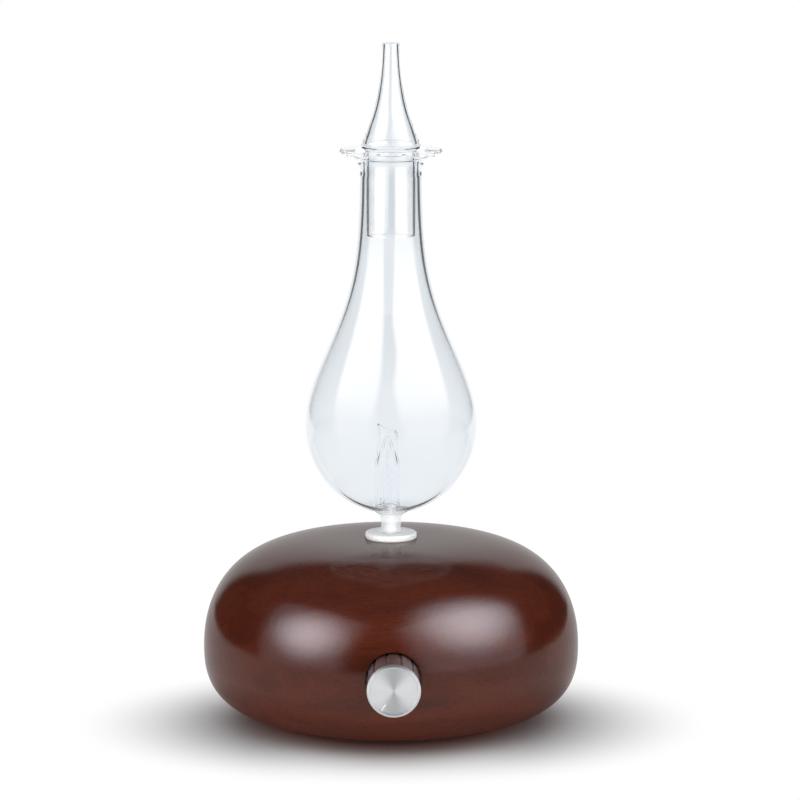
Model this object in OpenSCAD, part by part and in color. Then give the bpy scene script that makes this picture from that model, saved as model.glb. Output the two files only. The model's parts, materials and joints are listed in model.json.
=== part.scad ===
// Nebulising essential oil diffuser: a turned wooden base with a pump, and a blown glass reservoir.
// Millimetres, +Z up. The origin is on the base's axis, on the surface the diffuser stands on.
// The knob faces -Y and the power inlet faces +Y.

/* [Wooden base] */
// Radius of the base at its widest
base_r = 62.5; // [61:0.5:64]
// Height of the base's top
base_top_z = 60; // [59:0.5:62]
// Height of the widest point
base_wide_z = 24; // [23:0.5:26]
// Thickness of the rubber foot below the wood
foot_h = 1.5; // [1.2:0.1:2]
// Radius of the hollow milled from below
cavity_r = 36; // [35.5:0.5:37]
// Height of the hollow's ceiling
cavity_top_z = 48; // [47.5:0.5:49]
// Radius of the base plate
plate_r = 40; // [39.6:0.1:40]
// Thickness of the base plate
plate_h = 2.5; // [2:0.1:2.6]

/* [Control knob] */
// Radius of the knob
knob_r = 8.5; // [8:0.1:8.6]
// Length of the knob, with the part inside its recess
knob_len = 16.5; // [15:0.5:19]
// Height of the knob's axis
knob_z = 26.5; // [26:0.5:28]
// Depth of the knob's recess floor, measured from the base's axis
knob_floor_y = 58.5; // [58:0.1:59]
// Number of grip grooves round the knob
grip_count = 12; // [8:1:16]

/* [Glass reservoir] */
// Radius of the bulb at its widest
bulb_r = 28.25; // [27:0.25:29]
// Height of the bulb's widest point
bulb_z = 98.2; // [97:0.1:100]
// Height of the bowl below the widest point
bowl_h = 29.4; // [28.5:0.1:30]
// Radius of the neck
neck_r = 10; // [9.8:0.1:10.4]
// Height over which the bulb fades into the neck
fade_h = 35.6; // [33:0.1:37]
// Height of the neck's straight end
neck_top_z = 181.5; // [181:0.5:183]
// Thickness of the bulb's wall
glass_t = 1; // [0.9:0.1:1.6]
// Radius of the stem that goes into the base
stem_r = 3.3; // [3.1:0.1:3.4]
// Sideways offset of the nozzle from the axis
nozzle_x = -1.2; // [-1.4:0.1:0]

/* [Glass stopper] */
// Radius of the stopper's flange
flange_r = 16.8; // [16:0.1:17.5]
// Radius of the plug that hangs in the neck
plug_r = 8.05; // [7.5:0.05:8.1]
// Height of the plug's lower end
plug_z = 161; // [158:1:165]
// Height of the stopper's tip
tip_z = 224; // [223:0.5:227]

/* [Air pump] */
// Radius of the motor
motor_r = 10; // [9:0.5:10.5]
// Distance of the pump's axis behind the base's axis
pump_y = 14; // [13.5:0.5:14.5]
// Height of the pump's axis
pump_z = 16; // [15.5:0.5:16.5]
// Throw of the pump's crank
crank_throw = 1.5; // [1:0.1:1.6]

/* [Hidden] */
$fn = 96;
eps = 0.01;

// Colours
wood_c = [0.30, 0.12, 0.08];
glass_c = [0.85, 0.90, 0.95, 0.35];
white_c = [0.93, 0.93, 0.92];
alu_c = [0.78, 0.79, 0.80];
steel_c = [0.62, 0.62, 0.63];
black_c = [0.09, 0.09, 0.10];
brass_c = [0.80, 0.65, 0.35];
board_c = [0.06, 0.30, 0.16];

// Base: derived heights and places
plate_top_z = foot_h + plate_h;
ledge_z = plate_top_z + 0.2;
base_rise = base_top_z - base_wide_z;
collar_r = 8.55;
collar_h = 2;
collar_seat_z = base_top_z - 0.4;
throat_r = 7.5;
plate_screw_pcd_r = 38.1;
plate_screw_r = 1.2;

// Socket that takes the glass stem
socket_flange_h = 3;
socket_flange_z = cavity_top_z - socket_flange_h;
socket_bore_r = stem_r + 0.15;
socket_tube_r = 4.7;
socket_chamber_r = 5;
socket_bottom_z = 36.5;
socket_screw_pcd_r = 12;
stem_end_z = 43.5;
barb_z = 40.2;
barb_r = 2;
barb_bore_r = 1.2;
barb_end_x = 11;
led_ring_z = cavity_top_z + 0.3;
seal_r = 0.7;
seal_mid_r = stem_r + 0.05 + seal_r;
seal_z = socket_flange_z + 1.9;

// Knob and its control
knob_rear_y = knob_floor_y + 1;
knob_front_y = knob_rear_y + knob_len;
knob_recess_r = knob_r + 0.3;
control_pocket_y = 52;
control_r = 8;
shaft_r = 3;
shaft_gap = 0.05;
off_angle = 32;

// Power inlet
jack_z = 20;
jack_panel_in_y = 50;
jack_panel_out_y = 54;
jack_thread_r = 4;
jack_bore_r = 2.9;
jack_bore_end_y = 45.5;
jack_front_y = 55.4;
jack_pin_r = 1;

// Pump: places along its axis
motor_x0 = -24;
motor_x1 = 2;
case_x1 = 12;
valve_x0 = 13.2;
head_x0 = 15.2;
head_x1 = 20;
head_half = 10;
motor_shaft_r = 1;
nipple_x = (head_x0 + head_x1) / 2;
nipple_top_z = pump_z + head_half + 3.6;

// Hose: the socket's barb points at the pump's nipple
barb_angle = atan2(pump_y, nipple_x);
barb_reach = norm([pump_y, nipple_x]);
hose_turn_r = barb_z - nipple_top_z - 0.2;

// Circuit board
board_z = 9;
board_t = 1.6;
board_x = 18;
board_y0 = -28;
board_y1 = -8;
board_hole_x = 15;
board_hole_y = [-25.5, -10.5];

// Glass: derived sizes
bowl_in_h = bowl_h - glass_t;
bulb_in_r = bulb_r - glass_t;
neck_in_r = neck_r - 1.4;
lip_r = 14.6;
lip_z = neck_top_z + 5.4;
lip_t = 1;
floor_r = 6.3;
floor_z = bulb_z - bowl_in_h * sqrt(1 - pow(floor_r / bulb_in_r, 2));
stem_bore_r = 1.6;
flange_z = lip_z + lip_t + 0.15;
flange_t = 1.55;
plug_in_r = plug_r - 0.8;

// ---------------------------------------------------------------- curves

// A point of the curve (r/a)^p + (h/b)^q = 1, at angle t
function squircle(a, b, p, q, t) = [a * pow(cos(t), 2 / p), b * pow(sin(t), 2 / q)];

// Points of an arc
function arc(c, r, a0, a1, n = 6) = [
    for (i = [0:n]) c + r * [cos(a0 + (a1 - a0) * i / n), sin(a0 + (a1 - a0) * i / n)]
];

// Points of a cubic curve with end points a and d, steered by b and c
function bezier(a, b, c, d, n = 12) = [
    for (i = [0:n])
        let(t = i / n, s = 1 - t)
            s * s * s * a + 3 * s * s * t * b + 3 * s * t * t * c + t * t * t * d
];

function backwards(p) = [for (i = [len(p) - 1:-1:0]) p[i]];

// The bulb's bowl, from radius r_low up to its widest point
function bowl(r, h, r_low, n = 14) =
    let(t0 = acos(r_low / r))
        [for (i = [0:n]) [r * cos(t0 * (1 - i / n)), bulb_z - h * sin(t0 * (1 - i / n))]];

// The bulb above its widest point, fading into a neck of radius r_neck
function shoulder(r, r_neck, n = 22) = [
    for (i = [1:n])
        let(z = bulb_z + (neck_top_z - bulb_z) * i / n)
            [r_neck + (r - r_neck) * exp(-pow((z - bulb_z) / fade_h, 2)), z]
];

// The neck's flare, a quarter of an ellipse that ends under the lip
function mouth_flare(n) =
    let(reach = lip_r - neck_r - 0.6, rise = lip_z - neck_top_z)
        [for (i = [1:n]) [neck_r + reach * (1 - cos(90 * i / n)), neck_top_z + rise * sin(90 * i / n)]];

// ---------------------------------------------------------------- swept wires

function unit(v) = v / norm(v);

// Smooth curve through the points of a route, with n steps between neighbours
function route_point(a, b, c, d, t) =
    0.5 * (2 * b + (c - a) * t + (2 * a - 5 * b + 4 * c - d) * t * t
        + (3 * b - a - 3 * c + d) * t * t * t);

function smooth_route(p, n) = [
    for (i = [0:len(p) - 2], k = [0:n - 1])
        route_point(p[max(i - 1, 0)], p[i], p[i + 1], p[min(i + 2, len(p) - 1)], k / n),
    p[len(p) - 1]
];

function headings(p) = [
    for (i = [0:len(p) - 1]) unit(p[min(i + 1, len(p) - 1)] - p[max(i - 1, 0)])
];

// A direction square to each heading, carried along without twisting
function carry(n, t) = unit(n - t * (n * t));

function side_dirs(t) = [
    for (i = 0, n = carry(abs(t[0][2]) < 0.9 ? [0, 0, 1] : [1, 0, 0], t[0]);
        i < len(t);
        i = i + 1, n = i < len(t) ? carry(n, t[i]) : n) n
];

// Points of rings of radius r round the points of a path
function rings(path, r, sides) =
    let(dirs = headings(path), side = side_dirs(dirs))
        [for (i = [0:len(path) - 1], j = [0:sides - 1])
            let(a = 360 * j / sides)
                path[i] + r * (cos(a) * side[i] + sin(a) * cross(dirs[i], side[i]))];

// Faces between neighbouring rings, facing outwards, for points that start at first
function skin(count, sides, first = 0) = [
    for (i = [0:count - 2], j = [0:sides - 1])
        let(a = first + i * sides, k = (j + 1) % sides) [a + j, a + sides + j, a + sides + k, a + k]
];

// Solid wire along a route
module wire(route, r, sides = 8, steps = 4) {
    path = smooth_route(route, steps);
    last = (len(path) - 1) * sides;
    start_cap = [for (j = [0:sides - 1]) j];
    end_cap = [for (j = [sides - 1:-1:0]) last + j];
    polyhedron(rings(path, r, sides), concat([start_cap], [end_cap], skin(len(path), sides)));
}

// Hollow hose along a path
module hose(path, r, bore, sides = 20) {
    count = len(path);
    inside = count * sides;
    last = inside - sides;
    start_ring = [
        for (j = [0:sides - 1])
            let(k = (j + 1) % sides) [j, k, inside + k, inside + j]
    ];
    end_ring = [
        for (j = [0:sides - 1])
            let(k = (j + 1) % sides) [last + k, last + j, last + inside + j, last + inside + k]
    ];
    inner_skin = [for (f = skin(count, sides, inside)) backwards(f)];
    polyhedron(
        concat(rings(path, r, sides), rings(path, bore, sides)),
        concat(skin(count, sides), inner_skin, start_ring, end_ring)
    );
}

// ---------------------------------------------------------------- helpers

// Cylinder along Y, from y0 to y1
module y_rod(r, y0, y1, z, x = 0) {
    translate([x, y1, z]) rotate([90, 0, 0]) cylinder(r = r, h = y1 - y0);
}

// Cylinder along X on the pump's axis, from x0 to x1
module pump_rod(r, x0, x1) {
    translate([x0, pump_y, pump_z]) rotate([0, 90, 0]) cylinder(r = r, h = x1 - x0);
}

// Square block on the pump's axis with chamfered long edges
module pump_block(half, x0, x1, chamfer = 2) {
    k = half - chamfer;
    outline = [
        [half, k], [k, half], [-k, half], [-half, k], [-half, -k], [-k, -half], [k, -half], [half, -k]
    ];
    translate([x0, pump_y, pump_z]) rotate([90, 0, 90]) linear_extrude(x1 - x0) polygon(outline);
}

// Copies at the four corner screws of the pump
module pump_corners() {
    for (sy = [-1, 1], sz = [-1, 1])
        translate([0, sy * 7.6, sz * 7.6]) children();
}

// Screw standing on its tip, with a pan head above z = 0
module pan_screw(r, shank, head_r, head_h) {
    difference() {
        union() {
            translate([0, 0, -shank]) cylinder(r = r, h = shank + eps);
            cylinder(r1 = head_r, r2 = head_r * 0.75, h = head_h);
        }
        translate([0, 0, head_h - 0.5]) {
            cube([head_r, 0.5, 1.2], center = true);
            cube([0.5, head_r, 1.2], center = true);
        }
    }
}

// Copies on a circle
module around(r, count, start = 0) {
    for (i = [0:count - 1])
        rotate([0, 0, start + 360 * i / count]) translate([r, 0, 0]) children();
}

// ---------------------------------------------------------------- wooden base

module wood_base() {
    low = base_wide_z - foot_h;
    t_cut = asin(pow(low / base_wide_z, 2.6 / 2));
    lower = [
        for (i = [8:-1:1])
            let(p = squircle(base_r, base_wide_z, 4.8, 2.6, t_cut * i / 8)) [p[0], base_wide_z - p[1]]
    ];
    upper = [
        for (t = [0, 6, 12, 18, 24, 30, 37, 44, 51, 58, 65, 72, 78, 83, 87, 90])
            let(p = squircle(base_r, base_rise, 4, 2.1, t)) [p[0], base_wide_z + p[1]]
    ];
    color(wood_c) difference() {
        rotate_extrude() polygon(concat([[0, foot_h]], lower, upper));
        translate([0, 0, -1]) cylinder(r = cavity_r, h = cavity_top_z + 1);
        translate([0, 0, -1]) cylinder(r = plate_r + 0.2, h = ledge_z + 1);
        cylinder(r = throat_r, h = base_top_z + 1);
        translate([0, 0, collar_seat_z]) cylinder(r = collar_r + 0.15, h = 2);
        y_rod(knob_recess_r, -base_r - 2, -knob_floor_y, knob_z);
        y_rod(shaft_r + 0.7, -knob_floor_y - 1, -control_pocket_y + 1, knob_z);
        y_rod(control_r + 1.5, -control_pocket_y, -20, knob_z);
        y_rod(9.5, jack_panel_out_y, base_r + 2, jack_z);
        y_rod(jack_thread_r + 0.1, jack_panel_in_y - 1, jack_panel_out_y + 1, jack_z);
        y_rod(8.5, 20, jack_panel_in_y, jack_z);
        around(plate_screw_pcd_r, 4, 45) translate([0, 0, 1]) cylinder(r = plate_screw_r, h = 10.5);
        around(socket_screw_pcd_r, 3, 90) translate([0, 0, 40]) cylinder(r = 1, h = 14);
    }
}

module base_plate() {
    color(black_c) difference() {
        union() {
            translate([0, 0, foot_h]) cylinder(r = plate_r, h = plate_h);
            translate([0, 0, plate_top_z - eps]) difference() {
                cylinder(r = 35.6, h = 3);
                translate([0, 0, -1]) cylinder(r = 34.2, h = 5);
            }
        }
        for (i = [-2:2]) translate([0, -1.5 + i * 2.2, foot_h + plate_h / 2]) {
            cube([18, 1.2, plate_h + 1], center = true);
        }
        around(plate_screw_pcd_r, 4, 45) {
            translate([0, 0, 1]) cylinder(r = plate_screw_r + 0.2, h = 5);
            translate([0, 0, foot_h - eps]) cylinder(r1 = 2.2, r2 = plate_screw_r + 0.2, h = 1.1);
        }
    }
}

// Countersunk screws that hold the base plate
module plate_screws() {
    color(steel_c) around(plate_screw_pcd_r, 4, 45) difference() {
        union() {
            translate([0, 0, foot_h + 0.1]) cylinder(r1 = 2.1, r2 = plate_screw_r, h = 0.9);
            translate([0, 0, foot_h + 1 - eps]) cylinder(r = plate_screw_r, h = 9);
        }
        translate([0, 0, foot_h]) {
            cube([2.4, 0.5, 1], center = true);
            cube([0.5, 2.4, 1], center = true);
        }
    }
}

module foot_ring() {
    outline = [[29.4, 0], [34.6, 0], [35, 0.4], [35, foot_h], [29, foot_h], [29, 0.4]];
    color(black_c) rotate_extrude() polygon(outline);
}

// Felt pad over the air slots
module intake_filter() {
    color([0.85, 0.85, 0.80]) translate([-11, -7.2, plate_top_z]) cube([22, 10.6, 1.5]);
}

// ---------------------------------------------------------------- glass socket and lamps

// White silicone collar that the glass stem passes through
module glass_collar() {
    top_z = base_top_z + collar_h;
    bore_r = socket_bore_r + 0.1;
    edge = 0.7;
    outline = concat(
        [[bore_r, 51], [throat_r - 0.1, 51], [throat_r - 0.1, collar_seat_z], [collar_r, collar_seat_z]],
        arc([collar_r - edge, top_z - edge], edge, 0, 90, 4),
        arc([bore_r + 0.4, top_z - 0.4], 0.4, 90, 180, 3)
    );
    color(white_c) rotate_extrude() polygon(outline);
}

module glass_socket() {
    color(white_c) difference() {
        union() {
            translate([0, 0, socket_bottom_z]) cylinder(r = socket_chamber_r, h = 9);
            translate([0, 0, socket_flange_z]) cylinder(r = 15.5, h = socket_flange_h);
            translate([0, 0, socket_flange_z]) cylinder(r = socket_tube_r, h = 5.5);
            translate([0, 0, barb_z]) rotate([0, 90, barb_angle]) cylinder(r = barb_r, h = barb_end_x);
        }
        translate([0, 0, stem_end_z - 0.5]) cylinder(r = socket_bore_r, h = 10);
        translate([0, 0, socket_bottom_z + 2]) cylinder(r = 2, h = 6);
        translate([0, 0, barb_z]) rotate([0, 90, barb_angle])
            cylinder(r = barb_bore_r, h = barb_end_x + 1);
        translate([0, 0, seal_z - 0.75]) cylinder(r = seal_mid_r + seal_r + 0.05, h = 1.5);
        around(socket_screw_pcd_r, 3, 90) translate([0, 0, 44]) cylinder(r = 1.2, h = 5);
        translate([-6.3, 0, 46]) cylinder(r = 1.3, h = 8, center = true);
    }
}

// Ring that seals the stem in its socket
module socket_o_ring() {
    color(black_c) translate([0, 0, seal_z]) rotate_extrude() translate([seal_mid_r, 0]) circle(r = seal_r);
}

module socket_screws() {
    color(steel_c) around(socket_screw_pcd_r, 3, 90) translate([0, 0, socket_flange_z])
        rotate([180, 0, 0]) pan_screw(1, 8, 2, 1.2);
}

// Ring board that lights the collar from below
module led_board() {
    color(white_c) translate([0, 0, led_ring_z]) difference() {
        cylinder(r = throat_r - 0.2, h = 1);
        translate([0, 0, -1]) cylinder(r = socket_tube_r + 0.1, h = 3);
    }
}

module led_lamps() {
    color([0.95, 0.90, 0.55]) around(6.05, 5, 36) translate([0, 0, led_ring_z + 1]) {
        translate([-0.8, -0.8, 0]) cube([1.6, 1.6, 0.5]);
        translate([0, 0, 0.5 - eps]) cylinder(r = 0.6, h = 0.3);
    }
}

// Hose from the socket's barb: level, a quarter turn, and down onto the pump's nipple
module air_hose() {
    turn = arc([barb_reach - hose_turn_r, barb_z - hose_turn_r], hose_turn_r, 90, 0, 12);
    side_view = concat(
        [[socket_chamber_r + 1, barb_z]], turn, [[barb_reach, pump_z + head_half + 0.4]]
    );
    color([0.85, 0.88, 0.90, 0.7]) rotate([0, 0, barb_angle])
        hose([for (p = side_view) [p[0], 0, p[1]]], 3, barb_r + 0.05);
}

// ---------------------------------------------------------------- air pump

module motor_can() {
    color(steel_c) difference() {
        union() {
            pump_rod(motor_r, motor_x0, motor_x1 - 1);
            pump_rod(3, motor_x1 - 1 - eps, motor_x1);
        }
        pump_rod(motor_r - 1, motor_x0 - 1, motor_x1 - 2);
        pump_rod(motor_shaft_r + shaft_gap, motor_x1 - 3, motor_x1 + 1);
    }
}

module motor_end_cap() {
    color(black_c) difference() {
        union() {
            pump_rod(motor_r, motor_x0 - 1.5, motor_x0);
            pump_rod(motor_r - 1, motor_x0 - eps, motor_x0 + 1);
            pump_rod(3, motor_x0 - 2.5, motor_x0 - 1);
        }
        pump_rod(motor_shaft_r + shaft_gap, motor_x0 - 1.5, motor_x0 + 2);
        for (s = [-1, 1]) translate([motor_x0 - 1, pump_y + s * 6, pump_z]) cube([6, 0.6, 2], center = true);
    }
}

module motor_terminals() {
    color(brass_c) for (s = [-1, 1])
        translate([motor_x0 - 4, pump_y + s * 6 - 0.3, pump_z - 1]) cube([5, 0.6, 2]);
}

// Shaft with the armature that it carries
module motor_shaft() {
    color(steel_c) {
        pump_rod(motor_shaft_r, motor_x0 - 1.2, motor_x1 + 6);
        pump_rod(6.5, motor_x0 + 6, motor_x1 - 6);
        pump_rod(2.6, motor_x0 + 2, motor_x0 + 5.5);
    }
}

// Crank that makes the wobble plate nod
module pump_crank() {
    color(brass_c) {
        difference() {
            pump_rod(4, motor_x1 + 2, motor_x1 + 6);
            pump_rod(motor_shaft_r, motor_x1 + 1, motor_x1 + 7);
        }
        translate([0, 0, crank_throw]) pump_rod(0.8, motor_x1 + 6 - eps, motor_x1 + 8.6);
    }
}

module pump_crankcase() {
    color([0.16, 0.17, 0.19]) difference() {
        pump_block(head_half, motor_x1, case_x1);
        pump_rod(3.05, motor_x1 - 1, motor_x1 + 2);
        pump_rod(7.4, motor_x1 + 1.5, case_x1 + 1);
        pump_corners() pump_rod(0.9, motor_x1 + 2, case_x1 + 1);
    }
}

// Plate with three pump fingers, nodded by the crank's pin
module wobble_plate() {
    color(white_c) difference() {
        union() {
            pump_rod(6.6, motor_x1 + 7, motor_x1 + 8.4);
            translate([0, pump_y, pump_z]) rotate([0, 90, 0]) around(4.6, 3)
                translate([0, 0, motor_x1 + 8.4 - eps]) cylinder(r = 1.2, h = 1.6);
        }
        pump_rod(2.7, motor_x1 + 6, motor_x1 + 9);
    }
}

// Rubber sheet with three cups
module pump_diaphragm() {
    color(black_c) difference() {
        pump_block(head_half, case_x1, valve_x0);
        translate([0, pump_y, pump_z]) rotate([0, 90, 0]) around(4.6, 3)
            translate([0, 0, valve_x0 - 0.7]) cylinder(r = 2.2, h = 1);
        pump_corners() pump_rod(1, case_x1 - 1, valve_x0 + 1);
    }
}

module pump_valve_plate() {
    color(white_c) difference() {
        pump_block(head_half, valve_x0, head_x0);
        translate([0, pump_y, pump_z]) rotate([0, 90, 0]) around(4.6, 3)
            translate([0, 0, valve_x0 - 1]) cylinder(r = 0.6, h = 4);
        pump_corners() pump_rod(1, valve_x0 - 1, head_x0 + 1);
    }
}

module pump_head() {
    color([0.16, 0.17, 0.19]) difference() {
        union() {
            pump_block(head_half, head_x0, head_x1);
            translate([nipple_x, pump_y, pump_z]) cylinder(r = barb_r, h = nipple_top_z - pump_z);
        }
        translate([nipple_x, pump_y, pump_z + 5]) cylinder(r = barb_bore_r, h = 20);
        pump_rod(6.2, head_x0 - 1, head_x1 - 1.2);
        pump_corners() pump_rod(1, head_x0 - 1, head_x1 + 1);
    }
}

module pump_screws() {
    color(steel_c) pump_corners() translate([head_x1, pump_y, pump_z]) rotate([0, 90, 0])
        pan_screw(0.9, 12, 1.7, 1.1);
}

// Rubber saddles that keep the pump's hum out of the wood
module pump_cradle() {
    color(black_c) for (x = [[-19, 11], [3, 16]]) difference() {
        translate([x[0], pump_y - 8, plate_top_z]) cube([x[1], 16, pump_z - plate_top_z - 5]);
        if (x[0] < 0) pump_rod(motor_r + 0.02, x[0] - 1, x[0] + x[1] + 1);
        if (x[0] > 0) pump_block(head_half, x[0] - 1, x[0] + x[1] + 1);
    }
}

// ---------------------------------------------------------------- circuit board

module board_posts() {
    for (x = [-board_hole_x, board_hole_x], y = board_hole_y) translate([x, y, 0]) children();
}

module circuit_board() {
    color(board_c) difference() {
        translate([-board_x, board_y0, board_z]) cube([2 * board_x, board_y1 - board_y0, board_t]);
        board_posts() translate([0, 0, board_z - 1]) cylinder(r = 1.3, h = 4);
    }
}

module board_standoffs() {
    color(brass_c) board_posts() difference() {
        translate([0, 0, plate_top_z]) cylinder(r = 2.3, h = board_z - plate_top_z);
        translate([0, 0, plate_top_z + 1]) cylinder(r = 1.1, h = 6);
    }
}

module board_screws() {
    color(steel_c) board_posts() translate([0, 0, board_z + board_t]) pan_screw(1.1, 4.5, 2, 1.2);
}

// Timer chip with its eight legs
module timer_chip() {
    top_z = board_z + board_t;
    color(black_c) translate([-2.5, -20, top_z + 0.2]) cube([5, 4, 1.5]);
    color(steel_c) for (x = [-1.9, -0.63, 0.63, 1.9], s = [-1, 1])
        translate([x - 0.2, -18 + s * 2.5 - 0.5, top_z]) cube([0.4, 1, 0.6]);
}

module smoothing_capacitor() {
    color([0.15, 0.20, 0.35]) translate([9, -19.5, board_z + board_t]) {
        cylinder(r = 3.2, h = 1);
        translate([0, 0, 1 - eps]) cylinder(r = 2.9, h = 0.6);
        translate([0, 0, 1.6 - 2 * eps]) cylinder(r = 3.2, h = 6.4);
    }
}

module board_inductor() {
    color([0.25, 0.25, 0.26]) translate([-9, -19.5, board_z + board_t]) {
        translate([-3, -3, 0]) cube([6, 6, 0.8]);
        translate([0, 0, 0.8 - eps]) cylinder(r = 2.6, h = 1.6);
        translate([-3, -3, 2.4 - 2 * eps]) cube([6, 6, 0.8]);
    }
}

// Sockets on the board: motor, lamps, power and control
connector_places = [[-9, -11.5], [0, -11.5], [9, -11.5], [0, -25.5]];
module wire_connectors() {
    color(white_c) for (p = connector_places)
        translate([p[0] - 2.7, p[1] - 1.6, board_z + board_t]) difference() {
            cube([5.4, 3.2, 4]);
            translate([0.6, 0.6, 1]) cube([4.2, 2, 4]);
        }
}

// ---------------------------------------------------------------- timer control and knob

module control_body() {
    back_y = -control_pocket_y;
    color([0.45, 0.30, 0.16]) difference() {
        union() {
            y_rod(control_r, back_y, back_y + 8, knob_z);
            for (x = [-4, 0, 4]) translate([x - 0.6, back_y + 8 - eps, knob_z - 6]) cube([1.2, 3, 0.6]);
        }
        y_rod(shaft_r + shaft_gap, back_y - 1, back_y + 6, knob_z);
    }
}

module control_bushing() {
    color(brass_c) difference() {
        y_rod(3.6, -knob_floor_y - 3.2, -control_pocket_y, knob_z);
        y_rod(shaft_r + shaft_gap, -knob_floor_y - 5, -control_pocket_y + 1, knob_z);
    }
}

module control_washer() {
    color(steel_c) difference() {
        y_rod(5.4, -knob_floor_y - 0.5, -knob_floor_y, knob_z);
        y_rod(3.65, -knob_floor_y - 1, -knob_floor_y + 1, knob_z);
    }
}

module control_nut() {
    color(steel_c) difference() {
        translate([0, -knob_floor_y - 0.5, knob_z]) rotate([90, 0, 0]) cylinder(r = 5.5, h = 2, $fn = 6);
        y_rod(3.6, -knob_floor_y - 3, -knob_floor_y, knob_z);
    }
}

// Turned shaft with its wiper disc inside the control
module control_shaft() {
    color(alu_c) y_rod(shaft_r, -knob_front_y + 3.5, -control_pocket_y + 4, knob_z);
}

module knob_shell() {
    rim = 0.8;
    outline = [
        [0, knob_front_y - 0.25], [knob_r - 1.5, knob_front_y - 0.25], [knob_r - 1.3, knob_front_y],
        [knob_r - rim, knob_front_y], [knob_r, knob_front_y - rim], [knob_r, knob_rear_y + 0.4],
        [knob_r - 0.4, knob_rear_y], [0, knob_rear_y]
    ];
    color(alu_c) translate([0, 0, knob_z]) difference() {
        rotate([90, 0, 0]) rotate_extrude() polygon(outline);
        y_rod(6.8, -knob_rear_y - 6.5, -knob_rear_y + 1, 0);
        y_rod(5, -knob_front_y + 2.5, -knob_rear_y, 0);
        for (i = [0:grip_count - 1])
            rotate([0, i * 360 / grip_count + 15, 0])
                y_rod(0.6, -knob_front_y + 1.8, -knob_rear_y + 1, knob_r + 0.15);
        rotate([0, off_angle, 0]) translate([-0.35, -knob_front_y - 1, -knob_r + 1])
            cube([0.7, 1.7, 3.2]);
    }
}

module knob_insert() {
    color(black_c) translate([0, 0, knob_z]) difference() {
        y_rod(5, -knob_front_y + 2.5, -knob_rear_y - 6.5, 0);
        y_rod(shaft_r, -knob_front_y + 3.5, -knob_rear_y, 0);
    }
}

// ---------------------------------------------------------------- power inlet

module power_jack_body() {
    color(black_c) difference() {
        union() {
            y_rod(jack_thread_r, jack_bore_end_y - 5, jack_panel_out_y + eps, jack_z);
            y_rod(5.6, jack_panel_out_y, jack_front_y, jack_z);
            translate([0, jack_bore_end_y - 5, jack_z]) cube([1.4, 8, 0.5], center = true);
            translate([0, jack_bore_end_y - 5, jack_z - 2.6]) cube([1.4, 6, 0.5], center = true);
        }
        y_rod(jack_bore_r, jack_bore_end_y, jack_front_y + 1, jack_z);
    }
}

module power_jack_nut() {
    color(steel_c) difference() {
        translate([0, jack_panel_in_y, jack_z]) rotate([90, 0, 0]) cylinder(r = 6.3, h = 2.2, $fn = 6);
        y_rod(jack_thread_r, jack_panel_in_y - 4, jack_panel_in_y + 1, jack_z);
    }
}

// Contact pin in the middle of the inlet
module power_jack_pin() {
    color(brass_c) y_rod(jack_pin_r, jack_bore_end_y, jack_front_y - 0.8, jack_z);
}

// ---------------------------------------------------------------- wires

module motor_wires() {
    for (s = [-1, 1]) color(s < 0 ? "red" : black_c) wire([
        [motor_x0 - 3.4, pump_y + s * 6, 17.7], [motor_x0 - 4.6, pump_y + s * 6, 20],
        [-28, 7 + s * 3, 23.5 + s], [-21, -1, 23 + s], [-13 + s, -8.5, 20 + s],
        [-9 + s, -11.5, 17], [-9 + s, -11.5, 12]
    ], 0.6);
}

module led_wires() {
    for (s = [-1, 1]) color(s < 0 ? "red" : white_c) wire([
        [-6.3, s * 0.65, 48.1], [-6.3, s * 0.65, 42], [-6.3 + s * 0.9, s * 0.6 - 1, 34],
        [-5 + s, -5, 25], [-1.5 + s, -10.4, 19.5], [s, -11.5, 16.5], [s, -11.5, 12]
    ], 0.5);
}

module power_wires() {
    for (s = [-1, 1]) color(s < 0 ? "red" : black_c) wire([
        [s < 0 ? 0.1 : 0.3, 37.5, s < 0 ? jack_z + 0.9 : jack_z - 3.5], [1, 35, s < 0 ? 22 : 15.5],
        [6, 31, s < 0 ? 26.5 : 24], [8 + s, 24, 29], [9 + s, 14, 29], [9 + s, 4, 28.5],
        [9 + s, -5, 25.5], [9 + s, -11, 20], [9 + s, -11.5, 16.5], [9 + s, -11.5, 12]
    ], 0.6);
}

module control_wires() {
    tints = ["yellow", "white", "green"];
    for (i = [-1, 0, 1]) color(tints[i + 1]) wire([
        [i * 4, -42.4, knob_z - 4.9], [i * 3.6, -39, 22], [i * 2.8, -35.5, 21.5],
        [i * 2, -30, 20], [i * 1.5, -26, 17], [i * 1.4, -25.5, 12]
    ], 0.5);
}

// ---------------------------------------------------------------- glass

// Blown reservoir: stem, bulb, neck and flared lip in one piece
module glass_reservoir() {
    flare = 2.6;
    lip_top = lip_z + lip_t;
    outer = concat(
        [[stem_bore_r, stem_end_z], [stem_r - 0.4, stem_end_z], [stem_r, stem_end_z + 0.4]],
        arc([stem_r + flare, 66.2], flare, 180, 105, 6),
        bowl(bulb_r, bowl_h, 6.2),
        shoulder(bulb_r, neck_r),
        mouth_flare(8),
        arc([lip_r - lip_t / 2, lip_z + lip_t / 2], lip_t / 2, -90, 90, 6)
    );
    inner = concat(
        arc([neck_in_r + 2.6, lip_top - 2.6], 2.6, 90, 180, 6),
        backwards(shoulder(bulb_in_r, neck_in_r)),
        backwards(bowl(bulb_in_r, bowl_in_h, floor_r)),
        [[stem_bore_r, floor_z]]
    );
    color(glass_c) rotate_extrude() polygon(concat(outer, inner));
}

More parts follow.
